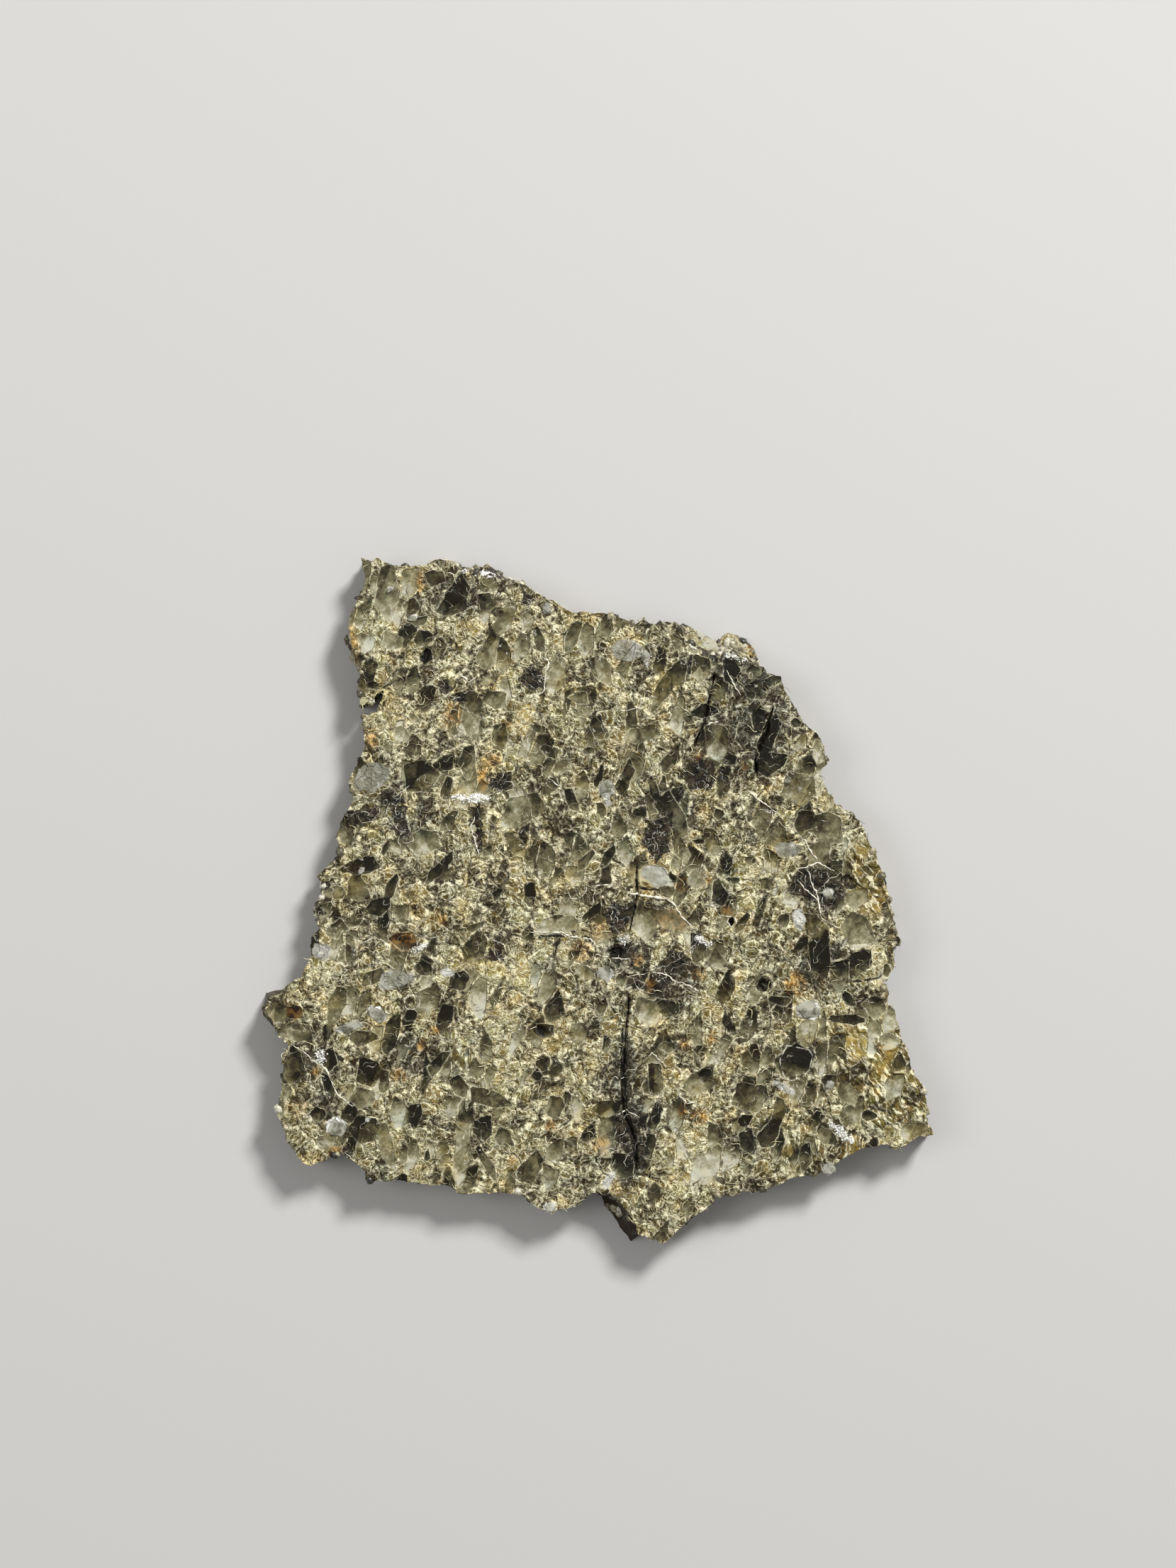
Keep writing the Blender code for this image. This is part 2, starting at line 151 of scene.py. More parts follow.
LATHS_LOWER_RIGHT: tuple[Row, ...] = (
    (5.92, -3.20, .42, .15, 175, .04), (8.10, -3.78, .66, .16, 175, .06), (8.15, -3.20, .32, .16, 135, .08),
    (8.95, -3.38, .40, .34, 0, .35), (6.42, -5.15, .66, .56, 0, .15), (5.00, -6.30, .62, .46, 20, .25),
    (5.90, -6.70, .40, .26, 90, .15), (5.60, -7.40, .68, .28, 55, .15), (4.90, -7.70, .50, .30, 100, .35),
    (4.78, -7.05, .24, .18, 0, 0), (7.45, -7.50, .46, .24, 130, .15), (8.75, -6.88, .28, .18, 0, .08),
    (6.70, -8.20, .48, .20, 85, .15), (10.20, -7.40, .50, .28, 20, .55), (9.40, -4.50, .36, .30, 0, .60),
    (7.48, -5.75, .26, .24, 0, .10), (8.05, -6.15, .46, .26, 125, .38),
)

# Black melt crossed by fine white threads: x, y, half length, half width, turn
MELT: tuple[Row, ...] = (
    (-6.50, 3.25, .48, .28, 15), (-7.40, 2.68, .62, .27, 25), (-6.35, 2.75, .28, .30, 0),
    (-6.15, 2.20, .17, .32, 0), (-3.05, 3.80, .35, .30, 0), (-3.80, 2.35, .85, .20, 95),
    (1.95, 1.95, .75, .42, 95), (.75, -.50, .50, .50, 0), (.85, -1.60, .45, .30, 0),
    (1.30, -2.65, .28, .28, 0), (2.20, -2.50, .33, .27, 0), (2.58, -1.95, .45, .35, 0),
    (7.15, .45, .85, .62, 160), (1.10, -7.70, .70, .36, 115), (-4.82, 6.85, .22, .22, 0),
    (-4.25, 6.60, .24, .24, 0), (-2.20, 9.65, .18, .20, 0), (3.40, 4.00, .55, .60, 0),
    (5.65, 2.92, .20, .13, 0), (-3.10, -1.50, .50, .15, 90), (-3.25, -1.82, .27, .17, 0),
    (-2.00, 7.10, .48, .42, 0), (-8.60, .58, .17, .15, 0), (-8.85, -.32, .16, .22, 0),
    (-8.00, -8.02, .23, .17, 0), (1.00, -7.05, .50, .42, 60), (1.30, -8.10, .42, .24, 100),
    (.98, -5.60, .60, .09, 90),
)

# Pale and clear grains, and among them painted highlights where the face glints, such as those at
# (-6.57, 10.0), (7.45, .22), (7.50, -5.90) and (-7.30, -7.00): x, y, half length, half width, turn,
# brightness
BRIGHT: tuple[Row, ...] = (
    (-8.30, -7.25, .38, .33, 0, 1.0), (1.05, 8.05, .62, .42, 0, .30), (6.85, -3.50, .42, .35, 0, .80),
    (-1.58, 9.38, .17, .22, 0, .60), (7.45, .22, .22, .17, 0, .95), (6.52, -.58, .38, .22, 100, .60),
    (-7.00, -3.62, .36, .22, 150, .70), (-7.92, -4.05, .48, .14, 12, .80), (.32, -2.33, .28, .24, 0, .85),
    (-7.20, 3.95, .60, .55, 0, .35), (-8.80, -1.60, .38, .30, 0, .35), (.42, -8.95, .38, .17, 62, .60),
    (7.50, -5.90, .15, .15, 0, .60), (6.05, -5.98, .44, .12, 148, .70), (-4.75, -2.28, .24, .18, 0, .60),
    (-1.48, -9.82, .20, .20, 0, .70), (7.50, -8.60, .25, .20, 0, .70), (-6.40, -2.50, .65, .32, 10, .35),
    (.33, 3.62, .28, .33, 0, .40), (.40, 3.18, .10, .22, 0, .60), (6.15, 1.65, .45, .25, 0, .35),
    (-5.85, 9.10, .16, .10, 20, .80), (-6.57, 10.0, .12, .10, 0, .70), (-7.50, .97, .17, .10, 40, .60),
    (6.55, 3.60, .11, .10, 0, .35), (6.40, 3.20, .09, .09, 0, .35), (6.15, 3.85, .09, .08, 0, .35),
    (-7.30, -7.00, .09, .07, 0, .60), (1.57, 7.80, .12, .28, 20, .80), (1.92, .80, .54, .36, 155, .50),
)

# Spongy white crusts: x, y, half length, half width, turn
CRUSTS: tuple[Row, ...] = (
    (-4.00, 3.30, .62, .14, 0), (7.90, -7.42, .55, .13, 144), (-8.85, -4.95, .20, .25, 0),
    (3.35, -1.22, .17, .10, 150), (3.62, -1.40, .12, .07, 60), (.88, -1.25, .17, .13, 0),
    (-5.70, -1.50, .30, .10, 25),
    (3.35, 8.10, .32, .07, 165), (4.30, 7.88, .40, .07, 162), (4.98, 7.74, .34, .06, 178),
    (-4.25, 10.66, .22, .06, 140), (-3.45, 10.48, .35, .06, 175),
)

# Round crackled grains with a pale ring: x, y, radius along and across
RINGED: tuple[Row, ...] = (
    (1.05, 6.45, .48, .48), (-.62, .35, .38, .38), (-5.30, -.92, .60, .38), (-6.00, -4.45, .30, .30),
    (-6.28, -5.60, .30, .30), (-7.20, -1.65, .60, .55), (.29, 2.38, .25, .25), (6.42, -5.15, .70, .60),
    (-5.90, -3.25, .34, .32),
)

# Rust stains: x, y, radius along x and y, strength
RUST: tuple[Row, ...] = (
    (-5.62, 10.20, .12, .40, .8), (-4.58, 6.00, .30, .42, .7), (-3.60, 3.95, .18, .45, .9),
    (-3.35, 4.50, .35, .22, .7), (-7.18, 5.20, .22, .38, .7), (-4.88, -.60, .14, .20, .8),
    (-.45, -1.60, .35, .35, .6), (.15, -.95, .36, .34, .5), (1.75, -2.68, .16, .28, .9),
    (1.38, -1.90, .18, .25, .8), (3.32, -2.35, .28, .20, .6), (6.40, -2.65, .36, .40, 1.),
    (3.60, .72, .12, .18, .8),
    (4.20, -.32, .30, .17, .6), (-8.97, -5.48, .13, .22, .9), (-5.58, -4.60, .14, .20, 1.),
    (-5.15, -4.15, .15, .15, .9), (-5.85, -4.85, .14, .12, .6), (2.80, -6.75, .12, .25, 1.),
    (3.35, -6.92, .28, .25, 1.), (.18, -7.80, .28, .30, .7), (-1.45, -7.22, .17, .17, .7),
    (-2.62, -8.35, .18, .25, .5), (3.30, 4.68, .20, .18, .7), (4.75, 4.35, .10, .20, .8),
    (.65, -3.80, .10, .10, .7), (3.72, -4.35, .13, .20, .8), (2.85, -4.60, .15, .20, .6),
    (4.98, 8.08, .18, .22, .7), (-8.30, -8.00, .32, .12, .8), (-7.95, 8.10, .35, .80, .8),
    (2.75, .55, .25, .28, .5), (9.02, -6.15, .12, .12, .5), (-9.50, -6.60, .50, .30, .3),
    (-6.15, -1.28, .45, .32, .8), (-9.65, -3.58, .28, .26, .8), (2.45, -.65, .60, .45, .35),
    (-6.28, -5.60, .28, .28, .5), (8.75, .70, .80, 1.30, .05),
)

# Places where the threads comb out into fine parallel hairs: x, y, radius along x and y, strength
HAIRS_LEANING: tuple[Row, ...] = (
    (9.25, -5.50, 1.60, 2.00, 1.0), (7.60, -4.60, .90, .80, .5), (8.75, .70, .80, 1.30, .8),
)
HAIRS_UPRIGHT: tuple[Row, ...] = (
    (7.50, -8.00, 1.60, 1.00, 1.0), (-4.30, -5.00, .60, .60, .5), (1.10, -7.70, .60, .80, .8),
)

# Broad stretches that are darker or lighter than the rest: x, y, radius along x and y, shift of the tone
SHADES: tuple[Row, ...] = (
    (5.00, 6.20, 1.70, 2.20, -.22), (2.30, 2.90, 1.00, .80, -.20), (-6.00, 3.00, .90, 1.10, -.20),
    (-4.40, 9.70, 1.00, .70, -.20), (7.10, .40, .90, 1.00, -.16), (7.30, -1.90, 1.00, 1.00, -.14),
    (.90, -1.80, .80, .70, -.20), (2.50, -2.80, 1.00, 1.00, -.16), (1.10, -7.60, .65, 1.50, -.34),
    (.95, -5.40, .40, 1.20, -.30), (-6.00, -4.90, .90, .70, -.20), (-9.00, -5.80, .90, 1.60, -.14),
    (5.00, -7.60, 1.00, .80, -.14), (6.60, -4.90, .90, .50, -.16), (4.00, .10, .50, .40, -.20),
    (-2.60, 5.60, .90, 1.70, .16), (-6.60, 5.60, .80, .70, .14), (1.70, .80, .90, .80, .12),
    (-2.60, -2.60, .90, 1.00, .14), (-2.80, -5.20, 1.00, 1.50, .16), (3.00, -8.20, 1.00, 1.10, .18),
    (6.80, -3.70, .80, .50, .14), (5.20, .60, .90, 1.00, .14), (-.90, -4.80, .80, 1.20, .14),
    (-3.40, 2.20, .90, .80, .12), (9.20, -5.20, .90, 1.60, .08), (-7.70, 8.60, .60, 1.00, .14),
)

# The same for the broken wall: partly its own tone, partly painted shadow on the tip's left wall and painted
# light on the lit shoulder and flanks
WALL_TONE_PAINTED_LIGHT_AND_SHADE: tuple[Row, ...] = (
    (.75, -10.10, 1.00, 1.10, -.90), (-9.70, -7.90, .60, .50, -.40), (7.40, 4.60, .40, .60, -.40),
    (9.60, -1.50, .30, .40, -.50), (4.00, 8.60, 1.20, .50, .30), (-8.60, 1.30, .40, .90, .25),
    (9.00, .20, .40, 1.20, .20), (-7.50, 6.30, .30, .60, -.35),
)

# White veins, each with its half width at its middle
VEINS: tuple[tuple[float, Path], ...] = (
    (.045, ((.80, .60), (1.10, .25), (1.45, .20), (1.90, .12), (2.30, .05), (2.55, -.15), (2.80, -.55),
            (3.10, -.85))),
    (.030, ((1.00, -2.45), (1.40, -2.35), (1.80, -2.28), (2.30, -2.35), (2.50, -2.55), (2.80, -2.62),
            (3.30, -2.90))),
    (.030, ((-2.10, -1.00), (-1.05, -1.02), (-.75, -1.15), (-.15, -1.22), (0, -1.45), (.50, -1.55))),
    (.028, ((0, -1.70), (.25, -1.78), (.80, -1.85), (1.10, -1.87))),
    (.030, ((-9.75, -4.60), (-9.35, -4.85), (-9.00, -5.15), (-8.65, -5.40), (-8.50, -5.70), (-8.30, -6.20),
            (-8.00, -6.40), (-7.80, -6.60))),
    (.032, ((6.80, 1.05), (6.95, .50), (7.10, .25), (7.17, -.20), (7.25, -.55), (7.50, -.70), (7.80, -.90))),
    (.028, ((6.50, .65), (6.70, .40), (7.15, 0))),
    (.030, ((6.45, 1.00), (7.15, 1.22), (7.65, .95))),
    (.026, ((4.85, 3.55), (5.30, 3.20), (5.50, 3.05), (5.80, 2.85))),
    (.028, ((6.40, 2.10), (6.70, 1.95), (6.95, 1.50), (7.15, 1.25))),
    (.030, ((-4.37, 7.30), (-4.05, 7.00), (-3.85, 7.15))),
    (.028, ((-1.90, 7.95), (-1.50, 7.70), (-1.60, 7.30), (-1.65, 6.73), (-2.00, 6.58))),
    (.034, ((-3.87, 2.70), (-4.00, 2.40), (-3.87, 1.90), (-3.75, 1.50))),
    (.026, ((-.10, -.15), (0, .50), (.25, .52), (.75, .52))),
    (.028, ((2.60, -6.00), (2.70, -6.25), (2.95, -6.50), (3.20, -6.45))),
    (.026, ((1.70, -5.00), (1.80, -4.85), (2.00, -5.05), (2.20, -5.20))),
    (.026, ((.70, -6.85), (1.00, -6.70), (1.40, -6.95))),
    (.030, ((3.75, -.20), (4.00, -.45), (4.45, -.52), (4.52, -.70), (4.36, -.85), (4.20, -.70),
            (4.25, -.55))),
    (.026, ((-1.55, 4.00), (-1.20, 3.70), (-1.00, 3.60))),
    (.026, ((4.20, 7.40), (4.45, 6.90), (4.65, 6.60))),
    (.036, ((3.50, 5.60), (3.70, 5.70), (3.95, 5.75))),
)

# Dark hairline cracks, each with its half width
HAIRLINES: tuple[tuple[float, Path], ...] = (
    (.040, ((-6.95, 6.78), (-6.40, 7.05), (-5.85, 7.26))),
    (.040, ((8.20, -2.60), (9.00, -2.50), (9.20, -2.38))),
    (.050, ((-1.80, -1.18), (-1.40, -1.12), (-1.00, -1.12))),
    (.035, ((1.37, .42), (1.70, .36), (2.00, .38))),
    (.035, ((1.30, -8.75), (1.65, -8.80), (2.00, -8.95))),
    (.035, ((-1.00, -3.73), (-.40, -3.40), (-.20, -3.28))),
    (.035, ((5.60, 6.35), (5.75, 6.45), (5.95, 6.60))),
    (.060, ((4.36, -.74), (4.38, -.62))),
    (.055, ((.90, -4.10), (.86, -5.00), (.88, -5.80), (.98, -6.60))),
    (.035, ((.98, -6.60), (1.15, -7.30), (1.30, -8.30))),
)


class Ground(Enum):
    """The kinds of ground that the slab's skin is made of, by the name of their field on the mesh."""

    GLASS = "glass"
    TONE = "tone"
    MELT = "melt"
    BRIGHT = "bright"
    BRIGHTNESS = "brightness"
    CRUST = "crust"
    RINGED = "ringed"
    RUST = "rust"
    HAIR_LEANING = "hair_leaning"
    HAIR_UPRIGHT = "hair_upright"
    SLIT = "slit"
    CRACK = "crack"
    WALL = "wall"
    # On the face, broad shifts of the stone's tone; on the broken wall, also painted light and shade.
    SHADE = "shade"


class Bed(Enum):
    """Where small shapes are scattered, by the name of the bed's field on the mesh."""

    NOODLES = "noodle_bed"
    CRUST = "crust_bed"
    RIM = "rim_bed"


@dataclass(frozen=True)
class Patch:
    """One grain of the catalogue: a lath with cut corners, turned in the plane of the sawn face."""

    x: float
    y: float
    half_length: float
    half_width: float
    turn: float = 0.0
    value: float = 0.5
    corners: int = 6

    def local(self, points: np.ndarray) -> tuple[np.ndarray, np.ndarray]:
        """Positions along and across the patch, in millimetres.

        Args:
            points: Rows of x and y in millimetres.

        Returns:
            The distance along the long axis and the distance across it.
        """
        angle = math.radians(self.turn)
        dx = points[:, 0] - self.x
        dy = points[:, 1] - self.y
        along = dx * math.cos(angle) + dy * math.sin(angle)
        across = dy * math.cos(angle) - dx * math.sin(angle)
        return along, across

    def depth(self, points: np.ndarray) -> np.ndarray:
        """How far inside the patch's seeded corners each point lies.

        Args:
            points: Rows of x and y in millimetres.

        Returns:
            The depth in millimetres, negative outside.
        """
        chance = random.Random(round(self.x * 1000) * 7919 + round(self.y * 1000))
        along, across = self.local(points)
        depth = np.full(len(points), np.inf)
        for side in range(self.corners):
            angle = (side + chance.uniform(-0.32, 0.32)) * math.tau / self.corners
            slope = Vector((math.cos(angle) / self.half_length, math.sin(angle) / self.half_width))
            reach = chance.uniform(0.72, 1.0) - along * slope.x - across * slope.y
            depth = np.minimum(depth, reach / slope.length)
        return depth

    def blob(self, points: np.ndarray) -> np.ndarray:
        """The patch as a soft spot.

        Args:
            points: Rows of x and y in millimetres.

        Returns:
            The patch's value in its middle, fading to nothing at its edge.
        """
        along, across = self.local(points)
        reach = (along / self.half_length) ** 2 + (across / self.half_width) ** 2
        return self.value * np.clip(1.35 - reach, 0.0, 1.0)


def patches(rows: Sequence[Row], corners: int = 5) -> list[Patch]:
    """The catalogue rows as patches of so many sides."""
    return [replace(Patch(*row), corners=corners) for row in rows]


def spots(rows: Sequence[Row]) -> list[Patch]:
    """The catalogue rows of upright soft spots, which hold no turn, as patches."""
    return [Patch(x, y, rx, ry, 0.0, strength) for x, y, rx, ry, strength in rows]


def deepest(found: Sequence[Patch], points: np.ndarray) -> tuple[np.ndarray, np.ndarray]:
    """The signed field of a group of patches and the patch that each point belongs to.

    Args:
        found: The patches of one kind of ground.
        points: Rows of x and y in millimetres.

    Returns:
        The largest depth at each point, and the index of the patch that gives it.
    """
    depth = np.full(len(points), -1.0)
    owner = np.zeros(len(points), int)
    for index, patch in enumerate(found):
        own = patch.depth(points)
        closer = own > depth
        depth[closer] = own[closer]
        owner[closer] = index
    return depth, owner


def strongest(found: Sequence[Patch], points: np.ndarray) -> np.ndarray:
    """The strength of a group of soft spots at each point."""
    return np.max([patch.blob(points) for patch in found], axis=0)


def spread(found: Sequence[Patch], points: np.ndarray) -> np.ndarray:
    """The sum of a group of soft spots at each point."""
    return np.sum([patch.blob(points) for patch in found], axis=0)


def path_distance(path: Path, points: np.ndarray) -> np.ndarray:
    """How far each point lies from a path of straight runs.

    Args:
        path: The path's corners.
        points: Rows of x and y in millimetres.

    Returns:
        The distances in millimetres.
    """
    nearest = np.full(len(points), np.inf)
    for start, end in zip(path, path[1:]):
        a = np.array(start)
        run = np.array(end) - a
        share = np.clip(((points - a) @ run) / (run @ run), 0.0, 1.0)
        nearest = np.minimum(nearest, np.linalg.norm(points - a - share[:, None] * run, axis=1))
    return nearest


def smooth(values: np.ndarray, low: float, high: float) -> np.ndarray:
    """A smooth step from 0 at low to 1 at high."""
    share = np.clip((values - low) / (high - low), 0.0, 1.0)
    return share * share * (3.0 - 2.0 * share)


def noise_at(points: np.ndarray, frequency: float, shift: float = 0.0) -> np.ndarray:
    """Smooth noise between -1 and 1 at rows of points in millimetres."""
    moved = points * frequency + shift
    return np.array([noise.noise(row) for row in moved.tolist()])


def kept_to_box(places: np.ndarray, rise: float) -> np.ndarray:
    """Rows of places in metres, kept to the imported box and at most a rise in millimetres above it."""
    low, high = (np.array(corner) for corner in CAD_BOX)
    return np.clip(places, low, high + np.array([0.0, 0.0, rise * MM]))


def linked_object(name: str, data: bpy.types.ID) -> bpy.types.Object:
    """Makes an object and links it to the scene.

    Args:
        name: Its name.
        data: Its mesh, curve, camera or lamp.

    Returns:
        The object.
    """
    made = bpy.data.objects.new(name, data)
    bpy.context.scene.collection.objects.link(made)
    return made


@dataclass
class StoneSkin:
    """The slab's visible skin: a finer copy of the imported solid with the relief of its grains."""

    splits: int = 3
    face_height: float = 1.10
    rim_height: float = 0.93
    wall_start: float = 0.86
    field_reach: float = 0.4
    sharp_angle: float = math.radians(62)
    khaki_relief: float = 0.042
    glass_sink: float = 0.026
    melt_sink: float = 0.030
    crust_rise: float = 0.030
    wall_relief: float = 0.060
    underside_relief: float = 0.016
    inner_laths: int = 620
    seed: int = 31
    name: str = "stone_skin"
    mesh: bpy.types.Mesh | None = None

    def build(self, material: bpy.types.Material) -> bpy.types.Object:
        """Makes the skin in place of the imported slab.

        Args:
            material: The finish of the stone.

        Returns:
            The skin's object, riding on the slab's body.
        """
        rim = self.split()
        normals = np.array([v.normal for v in self.mesh.vertices])
        points = np.array([v.co for v in self.mesh.vertices]) / MM
        points[:, :2] += FACE_SHIFT
        fields = self.fields(points, normals, rim)
        self.raise_relief(points, normals, fields)
        for kind, values in {**fields, **self.beds(points, normals, fields)}.items():
            stored = self.mesh.attributes.new(kind.value, "FLOAT", "POINT")
            stored.data.foreach_set("value", values.astype(np.float32))
        self.mesh.shade_smooth()
        self.mesh.set_sharp_from_angle(angle=self.sharp_angle)
        self.mesh.materials.clear()
        self.mesh.materials.append(material)
        skin = linked_object(self.name, self.mesh)
        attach(skin, "root")
        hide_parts(NODE)
        return skin

    def split(self) -> kdtree.KDTree:
        """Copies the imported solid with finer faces, and finds where the face meets the broken wall.

        Returns:
            A search tree over points along the sawn face's edge, in millimetres and flat.
        """
        self.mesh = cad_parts[NODE].data.copy()
        self.mesh.name = self.name
        for old in list(self.mesh.attributes):
            if old.name not in ("position", ".edge_verts", ".corner_vert", ".corner_edge"):
                self.mesh.attributes.remove(old)
        whole = bmesh.new()
        whole.from_mesh(self.mesh)
        bmesh.ops.remove_doubles(whole, verts=whole.verts, dist=2e-7)
        edge_points = []
        for edge in whole.edges:
            high = all(v.co.z > self.rim_height * MM for v in edge.verts)
            below = [v.co.z for f in edge.link_faces for v in f.verts if v.co.z < self.wall_start * MM]
            if high and below:
                a, b = (v.co / MM for v in edge.verts)
                edge_points.extend(a.lerp(b, share) for share in (0.0, 0.25, 0.5, 0.75))
        bmesh.ops.subdivide_edges(whole, edges=whole.edges, cuts=self.splits, use_grid_fill=True)
        bmesh.ops.triangulate(whole, faces=whole.faces)
        whole.to_mesh(self.mesh)
        whole.free()
        tree = kdtree.KDTree(len(edge_points))
        for index, point in enumerate(edge_points):
            tree.insert((point.x, point.y, 0.0), index)
        tree.balance()
        return tree

    def fields(
        self, points: np.ndarray, normals: np.ndarray, rim: kdtree.KDTree
    ) -> dict[Ground, np.ndarray]:
        """Where each kind of ground lies, as one value for each point of the skin.

        Args:
            points: The skin's points in millimetres.
            normals: Their normals.
            rim: A search tree along the sawn face's edge.

        Returns:
            The fields by kind of ground. Depths are in millimetres and positive inside.
        """
        flat = points[:, :2]
        depth = self.face_height - points[:, 2]
        edge = np.array([rim.find((x - FACE_SHIFT[0], y - FACE_SHIFT[1], 0.0))[2] for x, y in flat.tolist()])
        low = points[:, 2] < self.wall_start
        wall = np.where(low, 1.0, smooth(0.10 - edge, 0.0, 0.08) * smooth(depth, 0.03, 0.12))
        crack = smooth(depth, 0.045, 0.095) * smooth(edge, 0.05, 0.25) * (points[:, 2] > self.wall_start)
        laths = patches(
            LATHS_TOP + LATHS_LEFT + LATHS_MIDDLE + LATHS_RIGHT
            + LATHS_LOWER_LEFT + LATHS_LOWER_MIDDLE + LATHS_LOWER_RIGHT
        )
        glass, owner = deepest(laths, flat)
        tone = np.array([p.value for p in laths])[owner]
        centre = np.array([p.y for p in laths])[owner]
        length = np.array([p.half_length for p in laths])[owner]
        # Painted shade: each lath darker towards its top and lighter below, as where light from above falls
        # into the glass.
        tone = tone - 0.24 * np.clip((flat[:, 1] - centre) / length, -1.0, 1.0)
        inner, inner_tone = self.inner_field(points)
        sunk = glass - 0.8 * depth
        deep = inner > sunk
        below = wall > 0.5
        wall = wall * (1.0 - smooth(-normals[:, 2], 0.6, 0.9))
        tone = np.where(below & deep, inner_tone, tone)
        glass = np.where(below, np.maximum(inner, sunk), glass)
        bright_patches = patches(BRIGHT, 7)
        bright, bright_owner = deepest(bright_patches, flat)
        fade = 0.9 * np.maximum(depth - 0.05, 0.0)
        slit = np.max([width - path_distance(path, flat) for width, path in HAIRLINES], axis=0)
        depths = {
            Ground.GLASS: glass,
            Ground.MELT: deepest(patches(MELT), flat)[0] - fade,
            Ground.BRIGHT: bright - fade,
            Ground.CRUST: deepest(patches(CRUSTS, 7), flat)[0] - fade,
            Ground.RINGED: deepest(patches(RINGED, 9), flat)[0] - fade,
            Ground.SLIT: slit - fade,
        }
        clipped = {kind: np.clip(own, -self.field_reach, self.field_reach) for kind, own in depths.items()}
        # The face gets broad shifts of its own tone; the broken wall gets its own tone mixed with painted
        # shadow and painted light.
        shade = np.where(wall > 0.5, spread(spots(WALL_TONE_PAINTED_LIGHT_AND_SHADE), flat), spread(spots(SHADES), flat))
        return clipped | {
            Ground.TONE: tone,
            Ground.BRIGHTNESS: np.array([p.value for p in bright_patches])[bright_owner],
            Ground.RUST: strongest(spots(RUST), flat),
            Ground.HAIR_LEANING: strongest(spots(HAIRS_LEANING), flat) * (1.0 - wall),
            Ground.HAIR_UPRIGHT: strongest(spots(HAIRS_UPRIGHT), flat) * (1.0 - wall),
            Ground.CRACK: crack,
            Ground.WALL: wall,
            Ground.SHADE: shade,
        }

    def beds(
        self, points: np.ndarray, normals: np.ndarray, fields: dict[Ground, np.ndarray]
    ) -> dict[Bed, np.ndarray]:
        """How thickly small shapes lie at each point, from 0 to 1.

        Args:
            points: The skin's points in millimetres.
            normals: Their normals.
            fields: Where each kind of ground lies.

        Returns:
            The share by bed.
        """
        level = smooth(normals[:, 2], 0.2, 0.6) * (1.0 - fields[Ground.WALL]) * (1.0 - fields[Ground.CRACK])
        khaki = level * smooth(-fields[Ground.GLASS], -0.01, 0.03)
        khaki = khaki * smooth(-fields[Ground.MELT], 0.0, 0.04) * smooth(-fields[Ground.BRIGHT], 0.0, 0.04)
        combed = np.maximum(fields[Ground.HAIR_LEANING], fields[Ground.HAIR_UPRIGHT])
        tufts = 0.35 + 0.65 * smooth(noise_at(points, 1.4, 41.0), -0.3, 0.4)
        side = fields[Ground.WALL] * smooth(points[:, 2], 0.0, 0.15)
        return {
            Bed.NOODLES: khaki * tufts * (1.0 - smooth(combed, 0.1, 0.6)),
            Bed.CRUST: smooth(fields[Ground.CRUST], -0.04, 0.02),
            Bed.RIM: side * smooth(noise_at(points, 0.9, 77.0), -0.5, 0.3),
        }

    def inner_field(self, points: np.ndarray) -> tuple[np.ndarray, np.ndarray]:
        """Laths inside the stone, which show on its walls and its underside.

        Args:
            points: The skin's points in millimetres.

        Returns:
            Their signed field and the tone of the lath at each point.
        """
        chance = random.Random(self.seed)
        depth = np.full(len(points), -1.0)
        tone = np.full(len(points), 0.3)
        for _ in range(self.inner_laths):
            centre = np.array([chance.uniform(-11, 11), chance.uniform(-11, 11), chance.uniform(0, 1.1)])
            axis = Vector((chance.gauss(0, 1), chance.gauss(0, 1), chance.gauss(0, 0.6))).normalized()
            half_length = chance.uniform(0.25, 0.75)
            half_width = chance.uniform(0.12, 0.32)
            value = chance.choice((0.05, 0.10, 0.15, 0.3, 0.4, 0.5))
            away = points - centre
            along = away @ np.array(axis)
            across = np.linalg.norm(away - along[:, None] * np.array(axis), axis=1)
            reach = np.maximum(np.abs(along) / half_length, across / half_width)
            own = (1.0 - reach) * half_width
            closer = own > depth
            depth[closer] = own[closer]
            tone[closer] = value
        return depth, tone

    def raise_relief(
        self, points: np.ndarray, normals: np.ndarray, fields: dict[Ground, np.ndarray]
    ) -> None:
        """Moves the skin in and out by the relief of its grains.

        Args:
            points: The skin's points in millimetres, in the catalogue's place.
            normals: Their normals.
            fields: Where each kind of ground lies.
        """
        coarse = noise_at(points, 2.6)
        middle = noise_at(points, 6.1, 11.0)
        fine = noise_at(points, 12.5, 23.0)
        glass = smooth(fields[Ground.GLASS], -0.04, 0.05)
        melt = smooth(fields[Ground.MELT], -0.05, 0.06)
        crust = smooth(fields[Ground.CRUST], -0.05, 0.03)
        bright = smooth(fields[Ground.BRIGHT], -0.03, 0.05)
        ringed = smooth(fields[Ground.RINGED], 0.0, 0.25)
        wall = fields[Ground.WALL]
        under = smooth(-normals[:, 2], 0.6, 0.9)
        rough = self.khaki_relief * (0.8 * coarse + 0.7 * middle + 0.6 * fine)
        flat = -self.glass_sink + 0.008 * coarse
        height = rough * (1 - glass) + flat * glass
        height = height * (1 - melt) + melt * (-self.melt_sink + 0.02 * fine)
        height = height * (1 - bright) + bright * (0.012 + 0.01 * middle)
        height = height + crust * (self.crust_rise + 0.03 * np.abs(middle)) + 0.02 * ringed
        height = height - 0.05 * smooth(fields[Ground.SLIT], -0.05, 0.02)
        broad = noise_at(points, 1.5, 5.0)
        broken = self.wall_relief * (0.8 * broad + 0.7 * coarse + 0.5 * middle + 0.3 * fine)
        height = height * (1 - wall) + broken * wall
